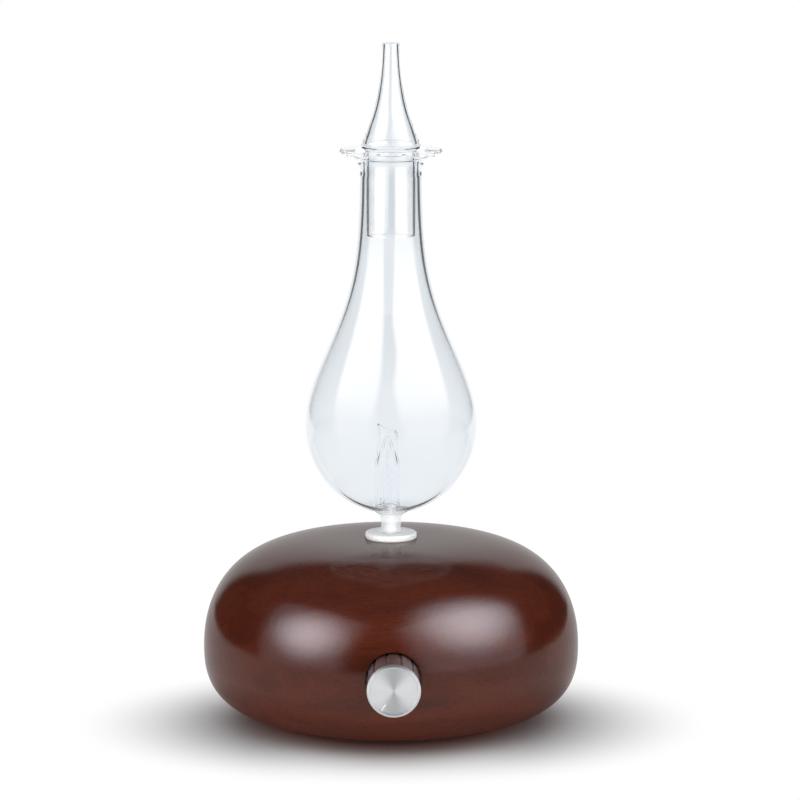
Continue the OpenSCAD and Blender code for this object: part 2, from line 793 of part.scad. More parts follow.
// Outer nozzle tube: draws the oil up and shapes the mist
module spray_sleeve() {
    low_r = 4.1;
    high_r = 3.3;
    wall = 0.8;
    top_z = 98.5;
    outline = [
        [low_r - wall, floor_z], [low_r, floor_z], [low_r, 84], [high_r, 90], [high_r, top_z + 1],
        [high_r - wall, top_z + 1], [high_r - wall, 90], [low_r - wall, 84]
    ];
    color(glass_c) translate([nozzle_x, 0, 0]) difference() {
        rotate_extrude() polygon(outline);
        translate([high_r, 0, 95.5]) rotate([0, 24, 0]) translate([-12, -8, 0]) cube([20, 16, 12]);
        for (a = [0, 120, 240]) rotate([0, 0, a]) translate([0, 0, floor_z + 1.5]) rotate([0, 90, 0])
            cylinder(r = 0.7, h = 6);
    }
}

// Inner tube: drawn down to a fine jet just below the sleeve's mouth
module air_jet_tube() {
    tube_r = 2.1;
    outline = [
        [1.2, floor_z], [tube_r, floor_z], [tube_r, 90], [0.9, 94.2], [0.35, 94.2], [0.4, 93.2],
        [1.2, 89.6]
    ];
    color(glass_c) translate([nozzle_x, 0, 0]) rotate_extrude() polygon(outline);
}

// Hollow stopper: plug, flange and drawn-out tip in one piece
module glass_stopper() {
    top_z = flange_z + flange_t;
    edge = flange_t / 2;
    outer = concat(
        [[plug_in_r + 0.3, plug_z], [plug_r - 0.4, plug_z], [plug_r, plug_z + 0.5], [plug_r, flange_z]],
        arc([flange_r - edge, flange_z + edge], edge, -90, 90, 6),
        [[11.4, top_z]],
        bezier([9.9, top_z + 0.9], [7.4, 196.2], [2.3, tip_z - 16.2], [2.95, tip_z - 0.3], 14)
    );
    inner = concat(
        [[2.7, tip_z], [2.2, tip_z]],
        backwards(bezier([8, 190.5], [5.4, tip_z - 21.7], [3.2, tip_z - 24.4], [1.9, tip_z - 0.2], 14)),
        [[plug_in_r, 188], [plug_in_r, plug_z + 0.4]]
    );
    color(glass_c) rotate_extrude() polygon(concat(outer, inner));
}

// ---------------------------------------------------------------- the parts

wood_base();
base_plate();
plate_screws();
foot_ring();
intake_filter();
glass_collar();
glass_socket();
socket_o_ring();
socket_screws();
led_board();
led_lamps();
air_hose();
motor_can();
motor_end_cap();
motor_terminals();
motor_shaft();
pump_crank();
pump_crankcase();
wobble_plate();
pump_diaphragm();
pump_valve_plate();
pump_head();
pump_screws();
pump_cradle();
circuit_board();
board_standoffs();
board_screws();
timer_chip();
smoothing_capacitor();
board_inductor();
wire_connectors();
control_body();
control_bushing();
control_washer();
control_nut();
control_shaft();
knob_shell();
knob_insert();
power_jack_body();
power_jack_nut();
power_jack_pin();
motor_wires();
led_wires();
power_wires();
control_wires();
glass_reservoir();
spray_sleeve();
air_jet_tube();
glass_stopper();
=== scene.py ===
"""Looks of the nebulising diffuser: smooth glass, wood and metal meshes, materials, studio and camera.

The object's lengths are in millimetres until a mesh is made, and the studio's are in metres.
+Z is up, and the knob faces -Y.
"""

import json
import math

import bmesh
import bpy
from mathutils import Matrix, Vector


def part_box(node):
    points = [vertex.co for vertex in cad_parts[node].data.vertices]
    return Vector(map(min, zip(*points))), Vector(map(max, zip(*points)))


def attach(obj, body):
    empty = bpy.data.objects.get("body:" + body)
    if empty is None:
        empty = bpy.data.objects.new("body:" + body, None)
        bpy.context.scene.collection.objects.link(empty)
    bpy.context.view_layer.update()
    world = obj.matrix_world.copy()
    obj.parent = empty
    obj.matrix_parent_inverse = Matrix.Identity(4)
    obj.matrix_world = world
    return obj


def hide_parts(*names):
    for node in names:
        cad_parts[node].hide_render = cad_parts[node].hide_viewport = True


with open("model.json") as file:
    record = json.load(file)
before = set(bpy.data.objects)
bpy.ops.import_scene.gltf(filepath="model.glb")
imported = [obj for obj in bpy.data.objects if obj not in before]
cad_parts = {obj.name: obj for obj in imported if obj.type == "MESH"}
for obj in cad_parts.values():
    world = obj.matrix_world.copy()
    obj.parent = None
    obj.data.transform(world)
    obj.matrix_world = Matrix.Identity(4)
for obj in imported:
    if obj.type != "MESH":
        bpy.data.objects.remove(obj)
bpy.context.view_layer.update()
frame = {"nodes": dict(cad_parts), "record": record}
MM = 0.001


def span(node):
    """Lowest and highest corner of a CAD node, in millimetres."""
    low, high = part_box(node)
    return low / MM, high / MM


# ---------------- sizes, worked out from the frame

BASE_LOW, BASE_HIGH = span("wood_base")
BASE_R = BASE_HIGH.x
BASE_TOP = BASE_HIGH.z
FOOT_H = BASE_LOW.z
BASE_WIDE_Z = 24
BASE_TOP_POWERS = (4, 2.1)  # powers of the outline across and up, above the widest height
BASE_FOOT_POWERS = (4.8, 2.6)  # the same below it
LOOSE = 0.2

COLLAR_LOW, COLLAR_HIGH = span("glass_collar")
COLLAR_R = COLLAR_HIGH.x
COLLAR_TOP = COLLAR_HIGH.z
COLLAR_SEAT = BASE_TOP - 0.4
THROAT_R = 7.5
CAVITY_R = 36
CAVITY_TOP = 48
PLATE_R = span("base_plate")[1].x
PLATE_LEDGE = 4.2
PLATE_SCREWS = {"count": 4, "first": 45, "circle": 38.1, "hole": 1.2, "low": 1, "high": 11.5}
SOCKET_SCREWS = {"count": 3, "first": 90, "circle": 12, "hole": 1.0, "low": 47, "high": 54}

KNOB_LOW, KNOB_HIGH = span("knob_shell")
KNOB_R = KNOB_HIGH.x
KNOB_Z = (KNOB_LOW.z + KNOB_HIGH.z) / 2
KNOB_REAR = -KNOB_HIGH.y
KNOB_LEN = KNOB_HIGH.y - KNOB_LOW.y
KNOB_RECESS_Y = KNOB_REAR - 1
KNOB_GAP = 0.3
KNOB_BORES = [(9.5, 20), (9.5, 52), (3.7, 52), (3.7, KNOB_RECESS_Y)]
KNOB_OFF_ANGLE = 32
KNOB_CHAMFER = 0.6
KNOB_FACE_STEP = 0.25
INSERT_R = 6.8
INSERT_DEPTH = 6.5
SHAFT_HOLE_R = 5
GRIP_COUNT = 12
GROOVE_R = 0.6
GROOVE_OUT = 0.15
GROOVE_STOP = 1.8

JACK_Z = 20
JACK_FRONT = span("power_jack_body")[1].y
JACK_RECESS_Y = 54
JACK_RECESS_R = 9.5
JACK_BORES = [(8.5, 20), (8.5, 50), (4.1, 50), (4.1, JACK_RECESS_Y)]

GLASS_LOW, GLASS_HIGH = span("glass_reservoir")
BULB_R = GLASS_HIGH.x
BULB_Z = 98.2
BOWL_H = 29.4
FADE_H = 35.6
GLASS_T = 1.0
NECK_R = 10
NECK_IN_R = 8.6
LIP_R = 14.6
LIP_T = 1
LIP_TOP = GLASS_HIGH.z
FLARE_RISE = 5.4
FLARE_IN_R = 2.6
NECK_TOP = LIP_TOP - LIP_T - FLARE_RISE
STEM_R = 3.3
STEM_BORE_R = 1.6
STEM_END = GLASS_LOW.z
STEM_FILLET_R = 2.6
STEM_FILLET_Z = 66.2
BOWL_LOW_R = 6.2
FLOOR_Z = span("spray_sleeve")[0].z
FLOOR_R = 6.3
NOZZLE_X = (span("air_jet_tube")[0].x + span("air_jet_tube")[1].x) / 2
SLEEVE_LOW_R = 4.1
SLEEVE_HIGH_R = 3.3
SLEEVE_T = 0.8
SLEEVE_TOP = 95.5
SLEEVE_SLANT = 24
FEED_HOLES = 3
FEED_HOLE_R = 0.7
FEED_HOLE_RISE = 1.5
JET_R = 2.1
JET_BORE_R = 1.2

STOPPER_LOW, STOPPER_HIGH = span("glass_stopper")
FLANGE_R = STOPPER_HIGH.x
FLANGE_Z = LIP_TOP + 0.15
FLANGE_T = 1.55
PLUG_R = 8.05
PLUG_IN_R = 7.25
PLUG_Z = STOPPER_LOW.z
TIP_Z = STOPPER_HIGH.z
TIP_R = 2.95


# ---------------- outlines


def arc(centre, radius, start, end, steps=10):
    """Points of an arc between two angles in degrees."""
    angles = [math.radians(start + (end - start) * i / steps) for i in range(steps + 1)]
    return [(centre[0] + radius * math.cos(a), centre[1] + radius * math.sin(a)) for a in angles]


def bezier(a, b, c, d, steps=48):
    """Points of a cubic curve from a to d, steered by b and c."""
    points = []
    for i in range(steps + 1):
        t = i / steps
        weights = ((1 - t) ** 3, 3 * (1 - t) ** 2 * t, 3 * (1 - t) * t * t, t**3)
        points.append(tuple(sum(w * p[k] for w, p in zip(weights, (a, b, c, d))) for k in (0, 1)))
    return points


def rounded(corners, steps=4):
    """Closed outline through (x, y, radius) corners, with an arc at each corner that has a radius."""
    points = []
    for i, (x, y, radius) in enumerate(corners):
        here = Vector((x, y))
        if not radius:
            points.append((x, y))
            continue
        before = (Vector(corners[i - 1][:2]) - here).normalized()
        after = (Vector(corners[(i + 1) % len(corners)][:2]) - here).normalized()
        half = before.angle(after) / 2
        centre = here + (before + after).normalized() * radius / math.sin(half)
        first = (here + before * radius / math.tan(half) - centre).normalized()
        last = (here + after * radius / math.tan(half) - centre).normalized()
        points += [tuple(centre + radius * first.slerp(last, k / steps)) for k in range(steps + 1)]
    return points


def squircle(a, b, p, q, degrees):
    """A point of the curve (x/a)^p + (y/b)^q = 1."""
    t = math.radians(degrees)
    return a * math.cos(t) ** (2 / p), b * math.sin(t) ** (2 / q)


def base_radius(z):
    """Radius of the wooden base at a height."""
    if z > BASE_WIDE_Z:
        across, up = BASE_TOP_POWERS
        rise = (z - BASE_WIDE_Z) / (BASE_TOP - BASE_WIDE_Z)
        return BASE_R * max(0, 1 - rise**up) ** (1 / across)
    across, down = BASE_FOOT_POWERS
    return BASE_R * (1 - ((BASE_WIDE_Z - z) / BASE_WIDE_Z) ** down) ** (1 / across)


def bowl(radius, height, lowest_radius, steps=40):
    """The bulb's rounded bottom, up to its widest point."""
    start = math.acos(lowest_radius / radius)
    angles = [start * (1 - i / steps) for i in range(steps + 1)]
    return [(radius * math.cos(a), BULB_Z - height * math.sin(a)) for a in angles]


def shoulder(bulb_radius, neck_radius, steps=80):
    """The bulb above its widest point, fading into the neck."""
    points = []
    for i in range(1, steps + 1):
        z = BULB_Z + (NECK_TOP - BULB_Z) * i / steps
        fade = math.exp(-(((z - BULB_Z) / FADE_H) ** 2))
        points.append((neck_radius + (bulb_radius - neck_radius) * fade, z))
    return points


# ---------------- meshes


SHARP_ANGLE = 30
FINE_SHARP_ANGLE = 25
WELD = 1e-7


def skin(name, rings, loop=True, sharp=SHARP_ANGLE):
    """Mesh through rings of points, joined end to end, or closed with a flat face at each end."""
    count = len(rings[0])
    vertices = [Vector(p) * MM for ring in rings for p in ring]
    faces = []
    for i in range(len(rings) if loop else len(rings) - 1):
        a, b = i * count, (i + 1) % len(rings) * count
        faces += [(a + k, a + (k + 1) % count, b + (k + 1) % count, b + k) for k in range(count)]
    if not loop:
        faces += [tuple(range(count)), tuple(range(len(vertices) - count, len(vertices)))]
    mesh = bpy.data.meshes.new(name)
    mesh.from_pydata(vertices, [], faces)
    work = bmesh.new()
    work.from_mesh(mesh)
    bmesh.ops.remove_doubles(work, verts=work.verts, dist=WELD)
    bmesh.ops.recalc_face_normals(work, faces=work.faces)
    work.to_mesh(mesh)
    work.free()
    piece = bpy.data.objects.new(name, mesh)
    bpy.context.scene.collection.objects.link(piece)
    return smooth(piece, sharp)


def smooth(piece, sharp=SHARP_ANGLE):
    """Smooth shading, with an edge wherever faces turn by more than sharp degrees."""
    piece.data.shade_smooth()
    piece.data.set_sharp_from_angle(angle=math.radians(sharp))
    return piece


def circle(count):
    """Angles once round, in radians."""
    return [math.tau * k / count for k in range(count)]


def lathe(name, outline, segments=192, centre_x=0):
    """Solid turned round +Z from a closed outline of (radius, height) points."""
    angles = circle(segments)
    rings = [[(centre_x + r * math.cos(a), r * math.sin(a), z) for a in angles] for r, z in outline]
    return skin(name, rings)


def lathe_y(name, outline, height, segments=96):
    """Solid turned round a line along Y from a closed outline of (radius, y) points."""
    angles = circle(segments)
    rings = [[(r * math.cos(a), y, height + r * math.sin(a)) for a in angles] for r, y in outline]
    return skin(name, rings, loop=outline[0][0] > 0)


def rod_y(radius, start, end, segments=24):
    """Round cutter along Y, at no height."""
    return lathe_y("cutter", [(0, start), (radius, start), (radius, end), (0, end)], 0, segments)


def rod_z(radius, start, end, x, y, segments=32):
    """Round cutter along Z."""
    angles = circle(segments)
    ring = [(x + radius * math.cos(a), y + radius * math.sin(a)) for a in angles]
    return skin("cutter", [[(*p, start) for p in ring], [(*p, end) for p in ring]], loop=False)


def block(name, low, high, soft=0.0):
    """Box between two corners, with its edges rounded by soft."""
    corners = [(low[0], low[1]), (high[0], low[1]), (high[0], high[1]), (low[0], high[1])]
    piece = skin(name, [[(*c, low[2]) for c in corners], [(*c, high[2]) for c in corners]], loop=False)
    if soft:
        bevel = piece.modifiers.new("rounding", "BEVEL")
        bevel.width = soft * MM
        bevel.segments = 3
        apply_modifiers(piece)
    return piece


def apply_modifiers(piece):
    """Keeps the shape that the modifiers make, and takes them off."""
    graph = bpy.context.evaluated_depsgraph_get()
    made = bpy.data.meshes.new_from_object(piece.evaluated_get(graph))
    piece.modifiers.clear()
    piece.data = made


def carve(piece, cutters, sharp=SHARP_ANGLE):
    """Takes the cutters away from the piece. The cut keeps the cutter's material."""
    for cutter in cutters:
        cut = piece.modifiers.new("cut", "BOOLEAN")
        cut.operation = "DIFFERENCE"
        cut.solver = "EXACT"
        cut.material_mode = "TRANSFER"
        cut.object = cutter
    apply_modifiers(piece)
    for cutter in cutters:
        bpy.data.objects.remove(cutter)
    return smooth(piece, sharp)


def join(name, pieces):
    """One mesh from several."""
    work = bmesh.new()
    for piece in pieces:
        work.from_mesh(piece.data)
        bpy.data.objects.remove(piece)
    mesh = bpy.data.meshes.new(name)
    work.to_mesh(mesh)
    work.free()
    joined = bpy.data.objects.new(name, mesh)
    bpy.context.scene.collection.objects.link(joined)
    return smooth(joined)


# ---------------- material tools

FIRST_COLOR, SECOND_COLOR, MIXED_COLOR = 6, 7, 2  # a Mix node's sockets for colours


def add(tree, kind):
    """New shader node in a tree."""
    return tree.nodes.new("ShaderNode" + kind)


def ease(tree, value, low, high, to_low=0.0, to_high=1.0):
    """Maps a value from one range to another with soft ends."""
    node = add(tree, "MapRange")
    node.interpolation_type = "SMOOTHSTEP"
    ranges = {"From Min": low, "From Max": high, "To Min": to_low, "To Max": to_high}
    for socket, number in ranges.items():
        node.inputs[socket].default_value = number
    tree.links.new(value, node.inputs["Value"])
    return node.outputs["Result"]


def combine(tree, operation, first, second):
    """Arithmetic on two values. Each is a number or another node's output."""
    node = add(tree, "Math")
    node.operation = operation
    for socket, value in zip(node.inputs, (first, second)):
        if isinstance(value, (int, float)):
            socket.default_value = value
        else:
            tree.links.new(value, socket)
    return node.outputs[0]


def mix_colors(tree, factor, first, second):
    """Colour between two colours. Each is a tuple or another node's output."""
    node = add(tree, "Mix")
    node.data_type = "RGBA"
    tree.links.new(factor, node.inputs["Factor"])
    for socket, color in ((FIRST_COLOR, first), (SECOND_COLOR, second)):
        if isinstance(color, tuple):
            node.inputs[socket].default_value = (*color, 1)
        else:
            tree.links.new(color, node.inputs[socket])
    return node.outputs[MIXED_COLOR]


class Finish:
    """A material with one Principled shader, and short ways to add texture to it."""

    def __init__(self, name, color, roughness, **sockets):
        self.material = bpy.data.materials.new(name)
        self.material.use_nodes = True
        self.tree = self.material.node_tree
        self.shader = self.tree.nodes["Principled BSDF"]
        self.set("Base Color", (*color, 1))
        self.set("Roughness", roughness)
        for socket, value in sockets.items():
            self.set(socket.replace("_", " "), value)

    def set(self, socket, value):
        """Sets a number or colour that is the same all over."""
        self.shader.inputs[socket].default_value = value

    def link(self, output, socket):
        """Feeds a texture into the shader."""
        self.tree.links.new(output, self.shader.inputs[socket])

    def node(self, kind):
        return add(self.tree, kind)

    def place(self, sizes):
        """Object coordinates, stretched so that one unit is one grain of a texture."""
        source, mapping = self.node("TexCoord"), self.node("Mapping")
        mapping.inputs["Scale"].default_value = tuple(1 / (size * MM) for size in sizes)
        self.tree.links.new(source.outputs["Object"], mapping.inputs["Vector"])
        return mapping.outputs["Vector"]

    def noise(self, size, detail=2.0, rough=0.5, distortion=0.0):
        """Noise with grains of a size in millimetres, which may differ along X, Y and Z."""
        sizes = size if isinstance(size, tuple) else (size, size, size)
        texture = self.node("TexNoise")
        texture.inputs["Scale"].default_value = 1
        texture.inputs["Detail"].default_value = detail
        texture.inputs["Roughness"].default_value = rough
        texture.inputs["Distortion"].default_value = distortion
        self.tree.links.new(self.place(sizes), texture.inputs["Vector"])
        return texture.outputs["Fac"]

    def spread(self, value, low, high, to_low=0.0, to_high=1.0):
        """Maps a value from one range to another, with soft ends."""
        return ease(self.tree, value, low, high, to_low, to_high)

    def blend(self, factor, first, second):
        """Colour between two colours. Each is a tuple or another node's output."""
        return mix_colors(self.tree, factor, first, second)

    def paint(self, factor, first, second):
        """Base colour between two colours."""
        self.link(self.blend(factor, first, second), "Base Color")

    def math(self, operation, first, second):
        return combine(self.tree, operation, first, second)

    def bump(self, height, depth, socket="Normal"):
        """Bump with a depth in millimetres."""
        node = self.node("Bump")
        node.inputs["Strength"].default_value = 1
        node.inputs["Distance"].default_value = depth * MM
        self.tree.links.new(height, node.inputs["Height"])
        self.link(node.outputs["Normal"], socket)

    def speckle(self, color, darker, size, amount=1.0):
        """Base colour that drifts between two tones."""
        drift = self.spread(self.noise(size, detail=4), 0.35, 0.65, 0, amount)
        self.paint(drift, color, darker)

    def wear(self, low, high, size):
        """Roughness that drifts between two values."""
        self.link(self.spread(self.noise(size, detail=3), 0.3, 0.7, low, high), "Roughness")


def tint(color, factor):
    """The colour made darker or lighter by a factor."""
    return tuple(c * factor for c in color)


# ---------------- materials


def dark_wood():
    """Stained wood with its grain along X, short dark pores, and a satin lacquer."""
    red, deep, pore = (0.066, 0.0135, 0.0058), (0.042, 0.0076, 0.0036), (0.016, 0.0042, 0.003)
    finish = Finish(
        "dark_wood", red, 0.5, Coat_Weight=0.62, Coat_Roughness=0.15, Coat_IOR=1.5, Specular_IOR_Level=0.0
    )
    broad = finish.noise((90, 14, 9), detail=3, distortion=0.6)
    fibre = finish.noise((14, 0.8, 0.6), detail=5, rough=0.6)
    pores = finish.spread(finish.noise((3.2, 0.32, 0.26), detail=1.5), 0.60, 0.72)
    bands = finish.math("MULTIPLY", finish.spread(broad, 0.38, 0.62), 0.6)
    tone = finish.math("ADD", bands, finish.math("MULTIPLY", finish.spread(fibre, 0.35, 0.7), 0.4))
    stained = finish.blend(tone, red, deep)
    finish.paint(finish.math("MULTIPLY", pores, 0.8), stained, pore)
    finish.link(finish.spread(fibre, 0.3, 0.7, 0.42, 0.55), "Roughness")
    relief = finish.math("SUBTRACT", finish.math("MULTIPLY", fibre, 0.25), pores)
    finish.bump(relief, 0.02)
    finish.bump(finish.noise(2.5, detail=3), 0.03, "Coat Normal")
    return finish.material


def moulded(name, color, roughness, grain=0.25, depth=0.012):
    """Moulded plastic with a fine spark-eroded texture."""
    finish = Finish(name, color, roughness)
    finish.speckle(color, tint(color, 0.82), 3.0)
    finish.wear(roughness - 0.06, roughness + 0.08, 4.0)
    finish.bump(finish.noise(grain, detail=2), depth)
    return finish.material


def white_silicone():
    """Satin white silicone, a little see-through, with faint dust."""
    color = (0.86, 0.86, 0.85)
    finish = Finish("white_silicone", color, 0.42, Subsurface_Weight=0.35, Subsurface_Scale=0.0015)
    finish.speckle(color, (0.80, 0.80, 0.79), 1.4, 0.7)
    finish.wear(0.36, 0.50, 1.5)
    finish.bump(finish.noise(0.3, detail=2), 0.008)
    return finish.material


def black_rubber():
    """Matt black rubber with a fine grain."""
    color = (0.016, 0.016, 0.017)
    finish = Finish("black_rubber", color, 0.7)
    finish.speckle(color, (0.026, 0.025, 0.025), 1.5)
    finish.wear(0.6, 0.8, 2.0)
    finish.bump(finish.noise(0.18, detail=3), 0.02)
    return finish.material


def clear_tube():
    """Milky silicone hose with faint lengthwise draw marks."""
    color = (0.80, 0.84, 0.86)
    finish = Finish("clear_tube", color, 0.3, Transmission_Weight=0.6, IOR=1.42)
    finish.speckle(color, (0.72, 0.76, 0.78), 2.0)
    finish.wear(0.24, 0.4, 1.5)
    finish.bump(finish.noise((0.3, 0.3, 6), detail=2), 0.01)
    return finish.material


def felt():
    """Needled felt with matted fibres."""
    color = (0.62, 0.62, 0.57)
    finish = Finish("felt", color, 0.95, Sheen_Weight=0.4, Sheen_Roughness=0.5)
    fibres = finish.noise((0.9, 0.12, 0.12), detail=5, distortion=2.0)
    finish.paint(finish.spread(fibres, 0.3, 0.7), color, (0.45, 0.45, 0.40))
    finish.bump(fibres, 0.12)
    return finish.material


def spun_aluminium():
    """Bare aluminium turned on a lathe: fine rings round the knob's axis."""
    color, ring_width, slope = (0.80, 0.81, 0.83), 0.12, 1.7
    finish = Finish("spun_aluminium", color, 0.5, Metallic=1.0, Anisotropic=0.8)
    source, offset, split = finish.node("TexCoord"), finish.node("Mapping"), finish.node("SeparateXYZ")
    offset.inputs["Location"].default_value = (0, 0, -KNOB_Z * MM)
    finish.tree.links.new(source.outputs["Object"], offset.inputs["Vector"])
    finish.tree.links.new(offset.outputs["Vector"], split.inputs["Vector"])
    square = [finish.math("POWER", split.outputs[axis], 2) for axis in ("X", "Z")]
    radius = finish.math("SQRT", finish.math("ADD", *square), 0)
    cone = finish.math("ADD", radius, finish.math("MULTIPLY", split.outputs["Y"], slope))
    ring = finish.node("TexNoise")
    ring.noise_dimensions = "1D"
    ring.inputs["Scale"].default_value = 1 / (ring_width * MM)
    ring.inputs["Detail"].default_value = 3
    finish.tree.links.new(cone, ring.inputs["W"])
    finish.link(finish.spread(ring.outputs["Fac"], 0.3, 0.7, 0.45, 0.55), "Roughness")
    tone = finish.spread(ring.outputs["Fac"], 0.3, 0.7)
    finish.paint(tone, color, tint(color, 0.90))
    finish.bump(ring.outputs["Fac"], 0.0012)
    facing = finish.node("SeparateXYZ")
    finish.tree.links.new(source.outputs["Normal"], facing.inputs["Vector"])
    flat = finish.math("ABSOLUTE", facing.outputs["Y"], 0)
    quarter_turn = 0.25
    finish.link(finish.spread(flat, 0.3, 0.7, 0, quarter_turn), "Anisotropic Rotation")
    tangent = finish.node("Tangent")
    tangent.direction_type = "RADIAL"
    tangent.axis = "Y"
    finish.link(tangent.outputs["Tangent"], "Tangent")
    return finish.material


def machined(name, color, low, high, streak):
    """Plated or turned metal with fine marks."""
    finish = Finish(name, color, low, Metallic=1.0)
    marks = finish.noise(streak, detail=4)
    finish.paint(finish.spread(marks, 0.3, 0.7), color, tint(color, 0.8))
    finish.link(finish.spread(marks, 0.3, 0.7, low, high), "Roughness")
    finish.bump(marks, 0.004)
    return finish.material


def board_green():
    """Solder mask over copper tracks."""
    color = (0.01, 0.13, 0.055)
    finish = Finish("board_green", color, 0.3, Coat_Weight=0.5)
    tracks = finish.spread(finish.noise((7, 2.2, 50), detail=0), 0.5, 0.52)
    finish.paint(tracks, color, (0.02, 0.22, 0.09))
    finish.wear(0.25, 0.4, 3.0)
    finish.bump(tracks, 0.03)
    return finish.material


def lamp_yellow():
    """Clear resin over yellow phosphor."""
    finish = Finish("lamp_yellow", (0.90, 0.72, 0.20), 0.2, Coat_Weight=1.0, Coat_Roughness=0.05)
    finish.speckle((0.92, 0.74, 0.22), (0.80, 0.55, 0.10), 0.3)
    finish.wear(0.15, 0.3, 0.5)
    return finish.material


def phenolic():
    """Pressed brown laminate with its layers across Y."""
    color = (0.14, 0.065, 0.025)
    finish = Finish("phenolic", color, 0.5)
    layers = finish.noise((6, 0.15, 6), detail=3)
    finish.paint(finish.spread(layers, 0.35, 0.65), color, (0.08, 0.035, 0.014))
    finish.bump(layers, 0.015)
    return finish.material


def wire_insulation():
    """Insulated wires, each in a colour of its own."""
    red, black, white = (0.38, 0.02, 0.015), (0.02, 0.02, 0.022), (0.75, 0.74, 0.70)
    finish = Finish("wire_insulation", red, 0.38)
    source, colors = finish.node("NewGeometry"), finish.node("ValToRGB")
    colors.color_ramp.interpolation = "CONSTANT"
    steps = colors.color_ramp.elements
    steps[1].position = 0.34
    steps.new(0.68)
    for step, color in zip(steps, (red, black, white)):
        step.color = (*color, 1)
    finish.tree.links.new(source.outputs["Random Per Island"], colors.inputs["Fac"])
    finish.link(colors.outputs["Color"], "Base Color")
    finish.wear(0.3, 0.45, 1.5)
    finish.bump(finish.noise(0.5, detail=2), 0.01)
    return finish.material


def clear_glass(name, index):
    """Blown glass: clear, a little wavy, and see-through to shadow rays. Index is how it bends light."""
    finish = Finish(name, (0.99, 0.994, 0.996), 0.0, Transmission_Weight=1.0, IOR=index)
    finish.speckle((0.991, 0.995, 0.997), (0.985, 0.992, 0.995), 18)
    finish.bump(finish.noise((22, 22, 34), detail=1), 0.02)
    clear, choice, path = finish.node("BsdfTransparent"), finish.node("MixShader"), finish.node("LightPath")
    clear.inputs["Color"].default_value = (0.90, 0.91, 0.92, 1)
    finish.tree.links.new(path.outputs["Is Shadow Ray"], choice.inputs["Fac"])
    finish.tree.links.new(finish.shader.outputs["BSDF"], choice.inputs[1])
    finish.tree.links.new(clear.outputs["BSDF"], choice.inputs[2])
    finish.tree.links.new(choice.outputs["Shader"], finish.tree.nodes["Material Output"].inputs["Surface"])
    return finish


def varied_glass(name, bending, ground_below=0):
    """Clear glass that bends light differently at different heights.

    Bending lists heights in millimetres with the refractive index at each: lower where the glass is
    thin. Below a height the glass can be ground, which makes it whitish.
    """
    finish = clear_glass(name, REAL_GLASS)
    source, split, curve = finish.node("TexCoord"), finish.node("SeparateXYZ"), finish.node("FloatCurve")
    finish.tree.links.new(source.outputs["Object"], split.inputs["Vector"])
    curve.mapping.extend = "HORIZONTAL"
    points = curve.mapping.curves[0].points
    while len(points) < len(bending):
        points.new(0.5, 0.5)
    for point, (height, index) in zip(points, bending):
        point.location = (height / ABOVE_ALL, index - 1)
        point.handle_type = "VECTOR"
    curve.mapping.update()
    share = finish.math("DIVIDE", split.outputs["Z"], ABOVE_ALL * MM)
    finish.tree.links.new(share, curve.inputs["Value"])
    finish.link(finish.math("ADD", curve.outputs["Value"], 1), "IOR")
    if ground_below:
        level = finish.math("DIVIDE", split.outputs["Z"], ground_below * MM)
        finish.link(finish.spread(level, 0.97, 1.02, GROUND_CLARITY, 1), "Transmission Weight")
    return finish.material


def indicator_paint():
    """Pale paint in the knob's mark."""
    color = (0.5, 0.5, 0.49)
    finish = Finish("indicator_paint", color, 0.5)
    finish.speckle(color, (0.42, 0.42, 0.41), 0.4)
    finish.bump(finish.noise(0.15, detail=2), 0.01)
    return finish.material


# refractive indices, and a height above the whole object
REAL_GLASS = 1.47
THIN_GLASS = 1.2
JET_GLASS = 1.12
GROUND_CLARITY = 0.62
ABOVE_ALL = 250

BOTTLE_BENDING = [
    (0, 1.03), (80, 1.05), (BULB_Z - 0.2, 1.2), (124, REAL_GLASS), (NECK_TOP - 0.5, REAL_GLASS),
    (NECK_TOP + 1.5, 1.12), (ABOVE_ALL, 1.12),
]
STOPPER_BENDING = [
    (0, 1.15), (PLUG_Z + 0.5, 1.15), (PLUG_Z + 2.5, REAL_GLASS), (LIP_TOP - 4.4, REAL_GLASS),
    (LIP_TOP - 3, 1.1), (LIP_TOP - 1, 1.25), (FLANGE_Z + FLANGE_T + 1, 1.25),
    (FLANGE_Z + FLANGE_T + 4, REAL_GLASS), (ABOVE_ALL, REAL_GLASS),
]

MATERIALS = {
    "dark_wood": dark_wood(),
    "black_plastic": moulded("black_plastic", (0.018, 0.018, 0.020), 0.48),
    "grey_plastic": moulded("grey_plastic", (0.045, 0.048, 0.055), 0.5),
    "white_plastic": moulded("white_plastic", (0.78, 0.78, 0.76), 0.4),
    "white_silicone": white_silicone(),
    "black_rubber": black_rubber(),
    "clear_tube": clear_tube(),
    "felt": felt(),
    "spun_aluminium": spun_aluminium(),
    "steel": machined("steel", (0.58, 0.58, 0.59), 0.22, 0.36, (3.0, 0.25, 0.25)),
    "brass": machined("brass", (0.78, 0.56, 0.22), 0.2, 0.34, (0.25, 0.25, 0.25)),
    "board_green": board_green(),
    "lamp_yellow": lamp_yellow(),
    "chip_black": moulded("chip_black", (0.02, 0.02, 0.022), 0.55, grain=0.12),
    "capacitor_blue": moulded("capacitor_blue", (0.02, 0.035, 0.11), 0.28, grain=1.2),
    "ferrite": moulded("ferrite", (0.05, 0.05, 0.053), 0.62, grain=0.15, depth=0.03),
    "phenolic": phenolic(),
    "wire_insulation": wire_insulation(),
    "clear_glass": varied_glass("clear_glass", BOTTLE_BENDING, ground_below=FLOOR_Z),
}

SLOT_OF = {part["node"]: part["material_slot"] for part in frame["record"]["subparts"]}
BODY_OF = {n: body for body, nodes in frame["record"]["behaviour"]["bodies"].items() for n in nodes}

for node_name, cad_object in frame["nodes"].items():
    for holder in cad_object.material_slots:
        holder.material = MATERIALS[SLOT_OF[node_name]]


